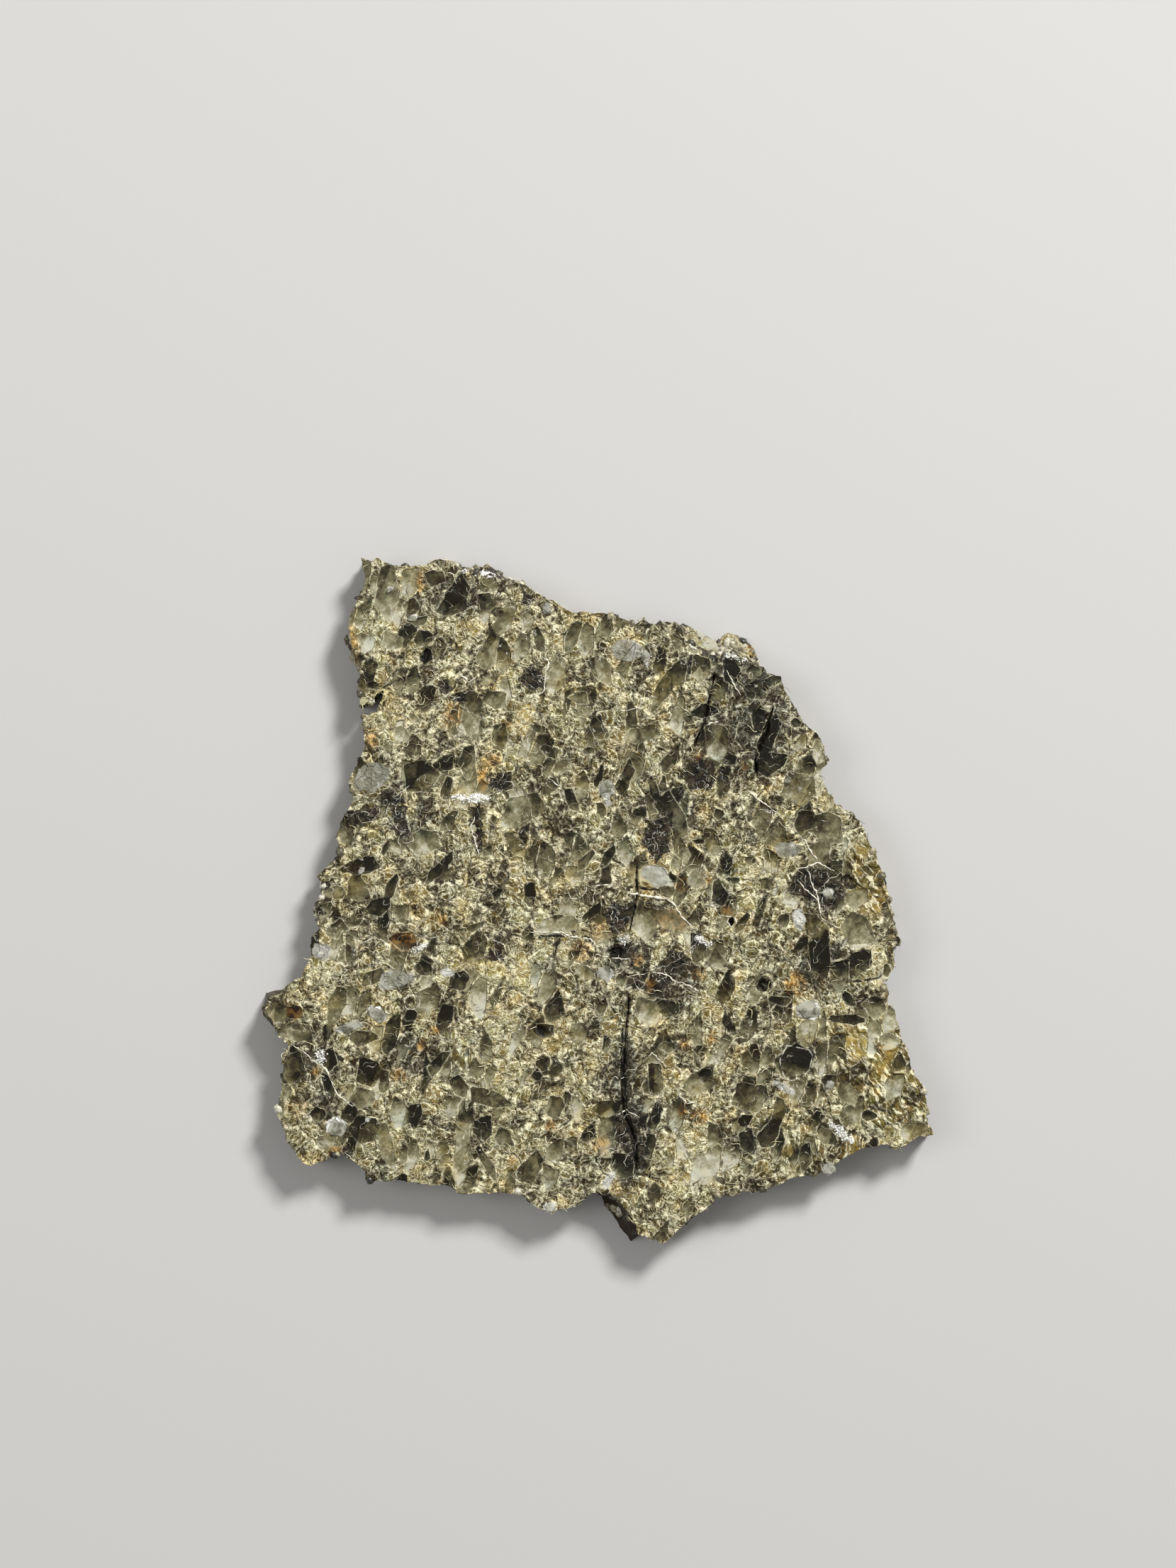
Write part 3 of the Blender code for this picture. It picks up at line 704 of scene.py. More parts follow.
        sawn = self.underside_relief * (coarse + middle)
        height = height * (1 - under) + sawn * under
        moved = points + normals * height[:, None]
        moved[:, :2] -= FACE_SHIFT
        moved = kept_to_box(moved * MM, SKIN_RISE)
        self.mesh.vertices.foreach_set("co", moved.astype(np.float32).ravel())
        self.mesh.update()


Socket = bpy.types.NodeSocket
Colour = tuple[float, float, float]
Tones = tuple[tuple[float, Colour], ...]
ORIGIN = (0.0, 0.0, 0.0)
MIDDLE = (0.5, 0.5, 0.5)


@dataclass
class Graph:
    """Adds nodes to a tree and links them, so that a finish reads as the sums it makes."""

    tree: bpy.types.NodeTree

    def node(
        self, kind: str, inputs: dict[str | int, object] | None = None, **settings: object
    ) -> bpy.types.Node:
        """Adds one node.

        Args:
            kind: The node's type.
            inputs: Values or sockets for its inputs, by name or place.
            settings: Its own settings, such as an operation.

        Returns:
            The new node.
        """
        made = self.tree.nodes.new(kind)
        for name, value in settings.items():
            setattr(made, name, value)
        for name, value in (inputs or {}).items():
            self.feed(made.inputs[name], value)
        return made

    def feed(self, target: Socket, value: object) -> None:
        """Gives an input its value.

        Args:
            target: The input.
            value: A socket to link to it, or the value of its own.
        """
        if isinstance(value, bpy.types.NodeSocket):
            self.tree.links.new(value, target)
        else:
            target.default_value = value

    def calculate(self, operation: str, a: object, b: object = 0.0, clamp: bool = False) -> Socket:
        """One Math node over two numbers or sockets."""
        return self.node("ShaderNodeMath", {0: a, 1: b}, operation=operation, use_clamp=clamp).outputs[0]

    def times(self, a: object, b: object, clamp: bool = False) -> Socket:
        """The product of two numbers or sockets."""
        return self.calculate("MULTIPLY", a, b, clamp)

    def minus(self, a: object, b: object) -> Socket:
        """What is left of one number or socket without another."""
        return self.calculate("SUBTRACT", a, b)

    def total(self, *terms: object) -> Socket:
        """The sum of several numbers or sockets, added up in their order."""
        return reduce(lambda so_far, term: self.calculate("ADD", so_far, term), terms)

    def most(self, *terms: object) -> Socket:
        """The largest of several numbers or sockets."""
        return reduce(lambda so_far, term: self.calculate("MAXIMUM", so_far, term), terms)

    def apart(self, a: object, b: object) -> Socket:
        """How far apart two numbers or sockets are."""
        return self.calculate("ABSOLUTE", self.minus(a, b))

    def step(
        self, value: object, low: object, high: object, start: object = 0.0, end: object = 1.0
    ) -> Socket:
        """A smooth step of a value from start at low to end at high."""
        inputs = {"Value": value, "From Min": low, "From Max": high, "To Min": start, "To Max": end}
        return self.node("ShaderNodeMapRange", inputs, interpolation_type="SMOOTHSTEP").outputs["Result"]

    def fall(self, value: object, low: object, high: object) -> Socket:
        """A smooth step of a value down from 1 at low to 0 at high."""
        return self.step(value, low, high, 1.0, 0.0)

    def between(self, share: object, a: object, b: object) -> Socket:
        """Two numbers or sockets mixed by a share."""
        return self.node("ShaderNodeMix", {0: share, 2: a, 3: b}).outputs[0]

    def mix(self, share: object, a: Socket | Colour, b: Socket | Colour, blend: str = "MIX") -> Socket:
        """Two colours mixed by a share.

        Args:
            share: How much of the second is mixed in.
            a: The first colour or its socket.
            b: The second.
            blend: How they are mixed.

        Returns:
            The mixed colour.
        """
        made = self.node("ShaderNodeMix", {0: share}, data_type="RGBA", blend_type=blend)
        for place, colour in ((6, a), (7, b)):
            self.feed(made.inputs[place], (*colour, 1) if isinstance(colour, tuple) else colour)
        return made.outputs[2]

    def vector(self, operation: str, a: object, b: object) -> Socket:
        """One Vector Math node over two vectors or sockets."""
        return self.node("ShaderNodeVectorMath", {0: a, 1: b}, operation=operation).outputs[0]

    def scaled(self, vector: Socket, scale: object) -> Socket:
        """A vector times a number."""
        return self.node("ShaderNodeVectorMath", {0: vector, "Scale": scale}, operation="SCALE").outputs[0]

    def drawn_out(self, position: Socket, turn: object, stretch: Colour, scale: object) -> Socket:
        """A position turned in the plane of the face and then drawn out.

        Args:
            position: The position.
            turn: The turn in radians.
            stretch: What its three parts are multiplied by.
            scale: What all of it is multiplied by.

        Returns:
            The new position.
        """
        turned = self.node(
            "ShaderNodeVectorRotate", {"Vector": position, "Angle": turn}, rotation_type="Z_AXIS"
        ).outputs[0]
        return self.scaled(self.vector("MULTIPLY", turned, stretch), scale)

    def noise(
        self, vector: Socket, scale: float, detail: float = 2.0, roughness: float = 0.55
    ) -> bpy.types.Node:
        """A noise texture at so many features for each millimetre."""
        inputs = {"Vector": vector, "Scale": scale, "Detail": detail, "Roughness": roughness}
        return self.node("ShaderNodeTexNoise", inputs)

    def warped(self, position: Socket, scale: float, reach: float) -> Socket:
        """A position bent by noise, by up to about half the reach."""
        bend = self.vector("SUBTRACT", self.noise(position, scale, 1.0).outputs["Color"], MIDDLE)
        return self.vector("ADD", position, self.scaled(bend, reach))

    def cells(self, vector: Socket, scale: object, feature: str = "F1") -> bpy.types.Node:
        """A Voronoi texture at so many cells for each millimetre."""
        return self.node("ShaderNodeTexVoronoi", {"Vector": vector, "Scale": scale}, feature=feature)

    def seamed(self, spot: Socket) -> tuple[bpy.types.Node, Socket]:
        """Voronoi cells one unit wide.

        Args:
            spot: The place in such units.

        Returns:
            The texture's node, and how far each point lies from the seams between the cells.
        """
        cell = self.cells(spot, 1.0)
        second = self.cells(spot, 1.0, "F2")
        return cell, self.minus(second.outputs["Distance"], cell.outputs["Distance"])

    def attribute(self, name: str) -> Socket:
        """A number stored on the mesh."""
        return self.node("ShaderNodeAttribute", attribute_name=name).outputs["Fac"]

    def place(self) -> Socket:
        """The place on the object, in millimetres."""
        return self.scaled(self.node("ShaderNodeTexCoord").outputs["Object"], 1.0 / MM)

    def ramp(self, value: Socket, tones: Tones) -> Socket:
        """A colour read from a row of tones.

        Args:
            value: What picks the tone, from 0 to 1.
            tones: Each tone's place on the row and its colour.

        Returns:
            The colour.
        """
        made = self.node("ShaderNodeValToRGB", {"Fac": value})
        stops = made.color_ramp.elements
        while len(stops) < len(tones):
            stops.new(0.5)
        for stop, (place, colour) in zip(stops, tones):
            stop.position = place
            stop.color = (*colour, 1)
        return made.outputs["Color"]

    def bump(self, height: Socket, distance: float) -> Socket:
        """The normal of a skin raised by a height times a distance in metres."""
        return self.node("ShaderNodeBump", {"Distance": distance, "Height": height}).outputs["Normal"]

    def surface(self, colour: Socket, roughness: Socket, normal: Socket) -> bpy.types.Node:
        """Ends a material in one Principled shader.

        Args:
            colour: Its colour.
            roughness: Its roughness.
            normal: Its normal.

        Returns:
            The shader's node.
        """
        inputs = {"Base Color": colour, "Roughness": roughness, "Normal": normal}
        shader = self.node("ShaderNodeBsdfPrincipled", inputs)
        self.node("ShaderNodeOutputMaterial", {"Surface": shader.outputs[0]})
        return shader

    def use(self, group: bpy.types.NodeTree, inputs: dict[str, object]) -> bpy.types.Node:
        """Adds one use of a node group.

        Args:
            group: The group.
            inputs: Values or sockets for its inputs, by name.

        Returns:
            The node that stands for it.
        """
        made = self.tree.nodes.new("ShaderNodeGroup")
        made.node_tree = group
        for name, value in inputs.items():
            self.feed(made.inputs[name], value)
        return made


@dataclass
class GroupGraph(Graph):
    """The graph inside a node group, with the group's own inputs and outputs."""

    given: bpy.types.Node
    out: bpy.types.Node

    def input(self, name: str) -> Socket:
        """One of the group's inputs."""
        return self.given.outputs[name]

    def give(self, values: dict[str, object]) -> bpy.types.NodeTree:
        """Feeds the group's outputs.

        Args:
            values: Values or sockets for them, by name.

        Returns:
            The finished tree.
        """
        for name, value in values.items():
            self.feed(self.out.inputs[name], value)
        return self.tree


def shader_group(name: str, inputs: dict[str, object], outputs: Sequence[str]) -> GroupGraph:
    """Starts a shader node group.

    Args:
        name: What the group makes.
        inputs: Each input's name and default, a number or a vector.
        outputs: The names of its outputs, all numbers.

    Returns:
        The group's graph.
    """
    tree = bpy.data.node_groups.new(name, "ShaderNodeTree")
    for key, default in inputs.items():
        kind = "NodeSocketVector" if isinstance(default, tuple) else "NodeSocketFloat"
        tree.interface.new_socket(key, in_out="INPUT", socket_type=kind).default_value = default
    for key in outputs:
        tree.interface.new_socket(key, in_out="OUTPUT", socket_type="NodeSocketFloat")
    return GroupGraph(tree, tree.nodes.new("NodeGroupInput"), tree.nodes.new("NodeGroupOutput"))


def thread_net_group() -> bpy.types.NodeTree:
    """Curly pale threads that close small cells, as over the khaki grains.

    Returns:
        The group, which gives the mask of the threads.
    """
    group = shader_group(
        "thread_net", {"Position": ORIGIN, "Cells": 5.0, "Width": 0.03, "Presence": 1.0}, ("Threads",)
    )
    position, cells, width = (group.input(name) for name in ("Position", "Cells", "Width"))
    edge = group.cells(position, cells, "DISTANCE_TO_EDGE").outputs["Distance"]
    net = group.fall(group.calculate("DIVIDE", edge, cells), group.times(width, 0.3), width)
    wave = group.noise(position, 5.2, 1.5, 0.5).outputs["Fac"]
    threads = group.most(group.times(net, 0.85), group.fall(group.apart(wave, 0.5), 0.004, 0.018))
    return group.give({"Threads": group.times(threads, group.input("Presence"))})


def grain_strokes_group() -> bpy.types.NodeTree:
    """Short pale strokes that lean with the grain they lie on, each grain its own way and tone.

    Returns:
        The group, which gives the strokes and the soft shade beside them, each grain's tone and hue,
        the line just inside its border, the painted shadow in the seam around it and its swell.
    """
    group = shader_group(
        "grain_strokes",
        {"Position": ORIGIN, "Grains": 2.2, "Strokes": 10.0},
        ("Strokes", "Shade", "Tone", "Hue", "Outline", "Seam", "Dome"),
    )
    position = group.input("Position")
    cell, gap = group.seamed(group.scaled(position, group.input("Grains")))
    chance = group.node("ShaderNodeSeparateColor", {0: cell.outputs["Color"]})
    turn = group.times(chance.outputs[0], math.pi)
    drawn = group.drawn_out(position, turn, (0.36, 1.0, 0.7), group.input("Strokes"))
    away = group.apart(group.noise(drawn, 1.0, 1.6, 0.55).outputs["Fac"], 0.5)
    return group.give({
        "Strokes": group.fall(away, 0.012, 0.048),
        "Shade": group.fall(away, 0.06, 0.22),
        "Tone": chance.outputs[1],
        "Hue": chance.outputs[2],
        "Outline": group.fall(group.apart(gap, 0.17), 0.02, 0.09),
        "Seam": group.fall(gap, 0.02, 0.13),
        "Dome": group.step(gap, 0.0, 0.40),
    })


def shards_group() -> bpy.types.NodeTree:
    """Upright angular fragments of glass between the grains, painted dark at the top and lighter below as
    painted shade.

    Returns:
        The group, which gives the fragments' mask, their tone with its painted shade, the border of every
        cell and a tone of its own for each.
    """
    group = shader_group(
        "shards",
        {"Position": ORIGIN, "Turn": 0.0, "Shards": 1.5, "Share": 0.3},
        ("Mask", "Tone", "Border", "Grain"),
    )
    stretch = (1.0, 0.52, 0.8)
    drawn = group.drawn_out(group.input("Position"), group.input("Turn"), stretch, group.input("Shards"))
    cell, gap = group.seamed(drawn)
    chance = group.node("ShaderNodeSeparateColor", {0: cell.outputs["Color"]})
    inside = group.vector("SUBTRACT", drawn, cell.outputs["Position"])
    height = group.node("ShaderNodeSeparateXYZ", {0: inside}).outputs["Y"]
    chosen = group.calculate("LESS_THAN", chance.outputs[0], group.input("Share"))
    # Painted shade: each fragment darker at its top and lighter below, as where light from above falls into
    # the glass.
    painted_top_shade = group.step(height, -0.45, 0.45, 0.26, -0.26)
    return group.give({
        "Mask": group.times(chosen, group.step(gap, 0.04, 0.20)),
        "Tone": group.total(group.times(chance.outputs[1], 0.62), painted_top_shade),
        "Border": group.fall(gap, 0.02, 0.09),
        "Grain": chance.outputs[2],
    })


def hair_streaks_group() -> bpy.types.NodeTree:
    """Fine parallel hairs that lean by a turn in the plane of the face.

    Returns:
        The group, which gives the mask of the hairs.
    """
    group = shader_group("hair_streaks", {"Position": ORIGIN, "Turn": 0.0, "Hairs": 9.0}, ("Hairs",))
    stretch = (0.16, 1.0, 0.5)
    drawn = group.drawn_out(group.input("Position"), group.input("Turn"), stretch, group.input("Hairs"))
    waves = group.noise(drawn, 1.0, 2.0, 0.6).outputs["Fac"]
    return group.give({"Hairs": group.step(waves, 0.50, 0.62)})


def ragged_mask_group() -> bpy.types.NodeTree:
    """A field's edge, frayed by a wave into a crisp mask.

    Returns:
        The group, which gives the mask.
    """
    group = shader_group(
        "ragged_mask", {"Field": 0.0, "Wave": 0.5, "Fray": 0.1, "Softness": 0.012}, ("Mask",)
    )
    fray = group.times(group.minus(group.input("Wave"), 0.5), group.input("Fray"))
    moved = group.total(group.input("Field"), group.times(fray, 2.0))
    low = group.times(group.input("Softness"), -1.0)
    return group.give({"Mask": group.step(moved, low, group.input("Softness"))})


def ridge_lines_group() -> bpy.types.NodeTree:
    """Long wandering hairlines where a noise crosses its middle.

    Returns:
        The group, which gives the mask of the lines.
    """
    group = shader_group("ridge_lines", {"Position": ORIGIN, "Lines": 1.6, "Width": 0.012}, ("Lines",))
    spot = group.scaled(group.input("Position"), group.input("Lines"))
    away = group.apart(group.noise(spot, 1.0, 2.0, 0.5).outputs["Fac"], 0.5)
    width = group.input("Width")
    return group.give({"Lines": group.fall(away, group.times(width, 0.3), width)})


@dataclass
class StoneGraph(Graph):
    """The stone's own graph, with the noises, bent places and node groups that its grounds share."""

    position: Socket = field(init=False)
    wave: Socket = field(init=False)
    broad: Socket = field(init=False)
    slack: Socket = field(init=False)
    bent: Socket = field(init=False)
    shade: Socket = field(init=False)
    ragged: bpy.types.NodeTree = field(init=False)
    ridges: bpy.types.NodeTree = field(init=False)
    streaks: bpy.types.NodeTree = field(init=False)

    def __post_init__(self) -> None:
        """Adds what the grounds share: fine and broad noise, the place bent once and twice, and groups."""
        self.position = self.place()
        self.wave = self.noise(self.position, 4.5, 3.0, 0.62).outputs["Fac"]
        self.broad = self.noise(self.position, 1.3, 5.0, 0.72).outputs["Fac"]
        self.slack = self.warped(self.position, 2.4, 0.34)
        self.bent = self.warped(self.slack, 8.5, 0.11)
        # Broad tone shifts on the face, and painted light and shade with the tone on the broken wall.
        self.shade = self.ground(Ground.SHADE)
        self.ragged = ragged_mask_group()
        self.ridges = ridge_lines_group()
        self.streaks = hair_streaks_group()

    def ground(self, kind: Ground) -> Socket:
        """One of the skin's fields."""
        return self.attribute(kind.value)

    def mask(self, kind: Ground, fray: float, softness: float = 0.012) -> Socket:
        """One of the skin's fields as a frayed mask."""
        inputs = {"Field": self.ground(kind), "Wave": self.wave, "Fray": fray, "Softness": softness}
        return self.use(self.ragged, inputs).outputs["Mask"]

    def lines(self, position: Socket, count: float, width: float) -> Socket:
        """Wandering hairlines, by their number to a millimetre and their width."""
        return self.use(self.ridges, {"Position": position, "Lines": count, "Width": width}).outputs["Lines"]

    def hairs(self, position: Socket, turn: float, count: float) -> Socket:
        """Parallel hairs, by their turn and their number to a millimetre."""
        return self.use(self.streaks, {"Position": position, "Turn": turn, "Hairs": count}).outputs["Hairs"]


def empty_material(name: str) -> bpy.types.Material:
    """Makes a material whose node tree is empty.

    Args:
        name: Its name.

    Returns:
        The material.
    """
    made = bpy.data.materials.new(name)
    made.use_nodes = True
    made.node_tree.nodes.clear()
    return made


@dataclass(frozen=True)
class StoneFinish:
    """The finish of the whole stone, face, walls and underside."""

    khaki_tones: Tones = (
        (0.00, (0.024, 0.017, 0.007)),
        (0.25, (0.078, 0.059, 0.019)),
        (0.50, (0.148, 0.115, 0.036)),
        (0.75, (0.228, 0.186, 0.066)),
        (1.00, (0.360, 0.308, 0.132)),
    )
    glass_tones: Tones = (
        (0.00, (0.012, 0.010, 0.006)),
        (0.25, (0.046, 0.040, 0.020)),
        (0.50, (0.130, 0.116, 0.060)),
        (0.75, (0.262, 0.240, 0.146)),
        (1.00, (0.470, 0.455, 0.350)),
    )
    thread: Colour = (0.800, 0.752, 0.515)
    grain_ochre: Colour = (1.12, 0.98, 0.70)
    grain_olive: Colour = (0.90, 0.96, 0.88)
    warm_tint: Colour = (1.07, 0.96, 0.72)
    cool_tint: Colour = (0.86, 0.94, 0.98)
    shadow_tint: Colour = (0.88, 0.94, 1.06)
    pale_line: Colour = (0.800, 0.770, 0.640)
    melt: Colour = (0.010, 0.009, 0.007)
    melt_pale: Colour = (0.062, 0.048, 0.027)
    # Also the colour of the painted highlights among the pale grains.
    bright_grain_and_glint: Colour = (0.800, 0.790, 0.730)
    bright_low: Colour = (0.190, 0.185, 0.135)
    crust: Colour = (0.860, 0.850, 0.790)
    rust_deep: Colour = (0.120, 0.030, 0.010)
    rust_bright: Colour = (0.350, 0.180, 0.050)
    rust_stain: Colour = (1.10, 0.76, 0.36)
    umber: Colour = (0.040, 0.027, 0.018)
    crack: Colour = (0.010, 0.008, 0.006)
    khaki_roughness: float = 0.62
    glass_roughness: float = 0.36
    melt_roughness: float = 0.32
    shine: float = 0.13
    bump_distance: float = 0.00007
    glass_fray: float = 0.07
    melt_fray: float = 0.34
    bright_fray: float = 0.10
    crust_fray: float = 0.20
    slit_fray: float = 0.04
    grains: float = 1.8
    strokes: float = 6.4
    net_cells: float = 4.6
    net_width: float = 0.015
    shards: float = 2.0
    shard_share: float = 0.36
    shard_turn: float = math.radians(14)
    hairs: float = 9.0
    hair_turn_leaning: float = math.radians(55)
    hair_turn_upright: float = math.radians(-88)
    scratches: float = 15.0
    scratch_turn: float = math.radians(-48)

    def material(self) -> bpy.types.Material:
        """Builds the stone's material.

        Returns:
            The material, which reads the skin's fields and its object coordinates.
        """
        made = empty_material("shergottite")
        graph = StoneGraph(made.node_tree)
        inputs = {
            "Position": graph.warped(graph.position, 3.0, 0.10), "Turn": self.shard_turn,
            "Shards": self.shards, "Share": self.shard_share,
        }
        shards = graph.use(shards_group(), inputs)
        threads, dome, khaki = self.khaki(graph, shards.outputs["Grain"])
        listed = graph.mask(Ground.GLASS, self.glass_fray)
        glass = graph.most(listed, shards.outputs["Mask"])
        melt = graph.mask(Ground.MELT, self.melt_fray, 0.03)
        bright = graph.mask(Ground.BRIGHT, self.bright_fray, 0.03)
        colour = self.tinted(graph, graph.mix(glass, khaki, self.glass(graph, shards, listed)))
        colour = self.lined(graph, colour, shards.outputs["Border"], listed)
        colour = self.melted(graph, colour, melt)
        colour = self.crusted(graph, colour, bright, threads)
        colour = self.cracked(graph, self.stained(graph, colour))
        roughness = graph.step(
            graph.most(glass, bright), 0.0, 1.0, self.khaki_roughness, self.glass_roughness
        )
        roughness = graph.most(roughness, graph.times(melt, self.melt_roughness))
        relief = self.relief(graph, threads, dome, glass)
        shader = graph.surface(colour, roughness, graph.bump(relief, self.bump_distance))
        shader.inputs["Specular IOR Level"].default_value = self.shine
        return made

    def relief(self, graph: StoneGraph, threads: Socket, dome: Socket, glass: Socket) -> Socket:
        """The finest relief.

        Args:
            graph: The material's graph.
            threads: The mask of the raised threads.
            dome: The swell of each grain.
            glass: The mask of the glass, which is smoother and stands a little higher.

        Returns:
            The height, as a share of the bump's distance.
        """
        height = graph.total(graph.times(threads, 0.35), graph.times(graph.wave, 1.2))
        height = graph.total(height, graph.times(dome, 0.9))
        height = graph.times(height, graph.step(glass, 0.0, 1.0, 1.0, 0.12))
        return graph.total(height, graph.times(glass, 0.25))

    def khaki(self, graph: StoneGraph, grain: Socket) -> tuple[Socket, Socket, Socket]:
        """The crackled khaki ground between the laths.

        Args:
            graph: The material's graph.
            grain: A tone of its own for each fragment.

        Returns:
            The mask of the pale threads and hairs, the swell of each grain, and the ground's colour.
        """
        inputs = {"Position": graph.bent, "Grains": self.grains, "Strokes": self.strokes}
        grains = graph.use(grain_strokes_group(), inputs)
        threads = self.threads(graph, grains)
        tone = graph.total(
            graph.step(graph.broad, 0.30, 0.70, 0.00, 0.62),
            graph.step(graph.wave, 0.28, 0.72, -0.11, 0.11),
            graph.step(grain, 0.1, 0.9, -0.13, 0.14),
            graph.step(grains.outputs["Tone"], 0.1, 0.9, -0.14, 0.14),
            graph.step(grains.outputs["Shade"], 0.0, 1.0, -0.10, 0.08),
            # On the broken wall this adds painted light and shade.
            graph.times(graph.shade, 1.9),
        )
        # Painted shadow in the seams between the grains.
        tone = graph.minus(tone, graph.times(grains.outputs["Seam"], 0.22))
        hue = graph.mix(grains.outputs["Hue"], self.grain_ochre, self.grain_olive)
        body = graph.mix(1.0, graph.ramp(tone, self.khaki_tones), hue, "MULTIPLY")
        pale = graph.times(threads, graph.step(tone, -0.1, 0.5, 0.16, 0.90))
        return threads, grains.outputs["Dome"], graph.mix(pale, body, self.thread)

    def threads(self, graph: StoneGraph, grains: bpy.types.Node) -> Socket:
        """The pale threads of the khaki ground, combed out into parallel hairs in places.

        Args:
            graph: The material's graph.
            grains: The grains with their strokes.

        Returns:
            The mask of the threads and hairs.
        """
        inputs = {
            "Position": graph.bent, "Cells": self.net_cells, "Width": self.net_width,
            "Presence": graph.step(graph.broad, 0.38, 0.60, 0.1, 0.7),
        }
        net = graph.use(thread_net_group(), inputs).outputs["Threads"]
        strokes = graph.times(grains.outputs["Strokes"], graph.step(graph.wave, 0.34, 0.58, 0.60, 1.0))
        outline = graph.times(grains.outputs["Outline"], graph.step(graph.wave, 0.42, 0.56, 0.15, 1.0))
        threads = graph.most(net, strokes, outline)
        combed = {
            Ground.HAIR_LEANING: self.hair_turn_leaning,
            Ground.HAIR_UPRIGHT: self.hair_turn_upright,
        }
        for kind, turn in combed.items():
            share = graph.step(graph.ground(kind), 0.1, 0.6)
            threads = graph.between(share, threads, graph.hairs(graph.bent, turn, self.hairs))
        return threads

    def glass(self, graph: StoneGraph, shards: bpy.types.Node, listed: Socket) -> Socket:
        """The grey and olive glass.

        Args:
            graph: The material's graph.
            shards: The seeded fragments.
            listed: The mask of the laths in the catalogue, which have tones of their own.

        Returns:
            The glass's colour.
        """
        # The laths' and fragments' tones hold painted shade, darker at the top; on the broken wall the shade
        # field adds painted light and shade.
        tone = graph.total(
            graph.between(listed, shards.outputs["Tone"], graph.ground(Ground.TONE)),
            graph.step(graph.broad, 0.25, 0.75, -0.26, 0.34),
            graph.step(graph.wave, 0.25, 0.75, -0.12, 0.14),
            graph.step(shards.outputs["Grain"], 0.1, 0.9, -0.13, 0.15),
            graph.times(graph.shade, 1.5),
            graph.times(graph.hairs(graph.position, self.scratch_turn, self.scratches), 0.07),
        )
        return graph.ramp(tone, self.glass_tones)

    def tinted(self, graph: StoneGraph, colour: Socket) -> Socket:
        """Tints a colour in broad warm and cool stretches, and colder where it is shaded.

        Args:
            graph: The material's graph.
            colour: What is tinted.

        Returns:
            The tinted colour.
        """
        tint = graph.noise(graph.position, 0.8, 3.0, 0.6).outputs["Fac"]
        tints = (
            (graph.step(tint, 0.49, 0.33, 0.0, 0.9), self.warm_tint),
            (graph.step(tint, 0.54, 0.68, 0.0, 0.8), self.cool_tint),
            (graph.step(graph.shade, -0.02, -0.20, 0.0, 1.0), self.shadow_tint),
        )
        for share, shift in tints:
            colour = graph.mix(share, colour, shift, "MULTIPLY")
        return colour

    def lined(self, graph: StoneGraph, colour: Socket, border: Socket, listed: Socket) -> Socket:
        """The pale edging of the glass and the long hairlines over a colour.

        Args:
            graph: The material's graph.
            colour: What they lie on.
            border: The border of the seeded fragments.
            listed: The mask of the laths in the catalogue, inside which no edging runs.

        Returns:
            The lined colour.
        """
        outside = graph.minus(1.0, listed)
        border = graph.times(graph.times(border, graph.step(graph.wave, 0.45, 0.60, 0.0, 0.5)), outside)
        edging = graph.times(graph.mask(Ground.GLASS, self.glass_fray, 0.055), outside)
        edging = graph.times(edging, graph.step(graph.broad, 0.40, 0.62, 0.2, 1.5), True)
        colour = graph.mix(graph.most(border, edging), colour, self.thread)
        pale = graph.times(graph.lines(graph.slack, 1.3, 0.0045), graph.step(graph.broad, 0.46, 0.58))
        return graph.mix(graph.times(pale, 0.8), colour, self.pale_line)

    def melted(self, graph: StoneGraph, colour: Socket, melt: Socket) -> Socket:
        """The dark melt with its threads, and the pale rings of the round grains, over a colour.

        Args:
            graph: The material's graph.
            colour: What they lie on.
            melt: The mask of the melt.

        Returns:
            The colour with both.
        """
        pool = graph.mix(graph.step(graph.wave, 0.38, 0.64, 0.0, 0.7), self.melt, self.melt_pale)
        pool = graph.mix(graph.times(graph.lines(graph.bent, 3.2, 0.013), 0.36), pool, self.pale_line)
        ring = graph.step(graph.apart(graph.ground(Ground.RINGED), 0.03), 0.006, 0.026, 0.55, 0.0)
        ring = graph.times(ring, graph.step(graph.wave, 0.35, 0.55))
        return graph.mix(ring, graph.mix(melt, colour, pool), self.pale_line)

    def crusted(self, graph: StoneGraph, colour: Socket, bright: Socket, threads: Socket) -> Socket:
        """The pale grains, among them painted highlights, and the white crusts over a colour.

        Args:
            graph: The material's graph.
            colour: What they lie on.
            bright: The mask of the pale grains and the painted highlights.
            threads: The mask of the pale threads, which thicken the crusts.

        Returns:
            The colour with both.
        """
        cloud = graph.step(graph.broad, 0.3, 0.7, -0.55, 0.15)
        level = graph.calculate("ADD", graph.ground(Ground.BRIGHTNESS), cloud, True)
        # The brightest spots include painted highlights where the face glints.
        grain = graph.mix(level, self.bright_low, self.bright_grain_and_glint)
        colour = graph.mix(graph.times(bright, 0.9), colour, grain)
        crust = graph.mask(Ground.CRUST, self.crust_fray, 0.03)
        crust = graph.times(crust, graph.step(threads, 0.0, 0.6, 0.30, 0.90))
        return graph.mix(crust, colour, self.crust)

    def stained(self, graph: StoneGraph, colour: Socket) -> Socket:
        """Stains a colour with rust, more so in the middle of each spot.

        Args:
            graph: The material's graph.
            colour: What is stained.

        Returns:
            The stained colour.
        """
        amount = graph.times(graph.ground(Ground.RUST), graph.step(graph.wave, 0.36, 0.60, 0.15, 1.2))
        rust = graph.mix(graph.step(graph.wave, 0.40, 0.62), self.rust_deep, self.rust_bright)
        faint = graph.step(graph.broad, 0.62, 0.76, 0.0, 0.25)
        stain = graph.most(graph.times(amount, 1.0, True), faint)
        stained = graph.mix(stain, colour, self.rust_stain, "MULTIPLY")
        return graph.mix(graph.times(amount, 0.30, True), stained, rust)

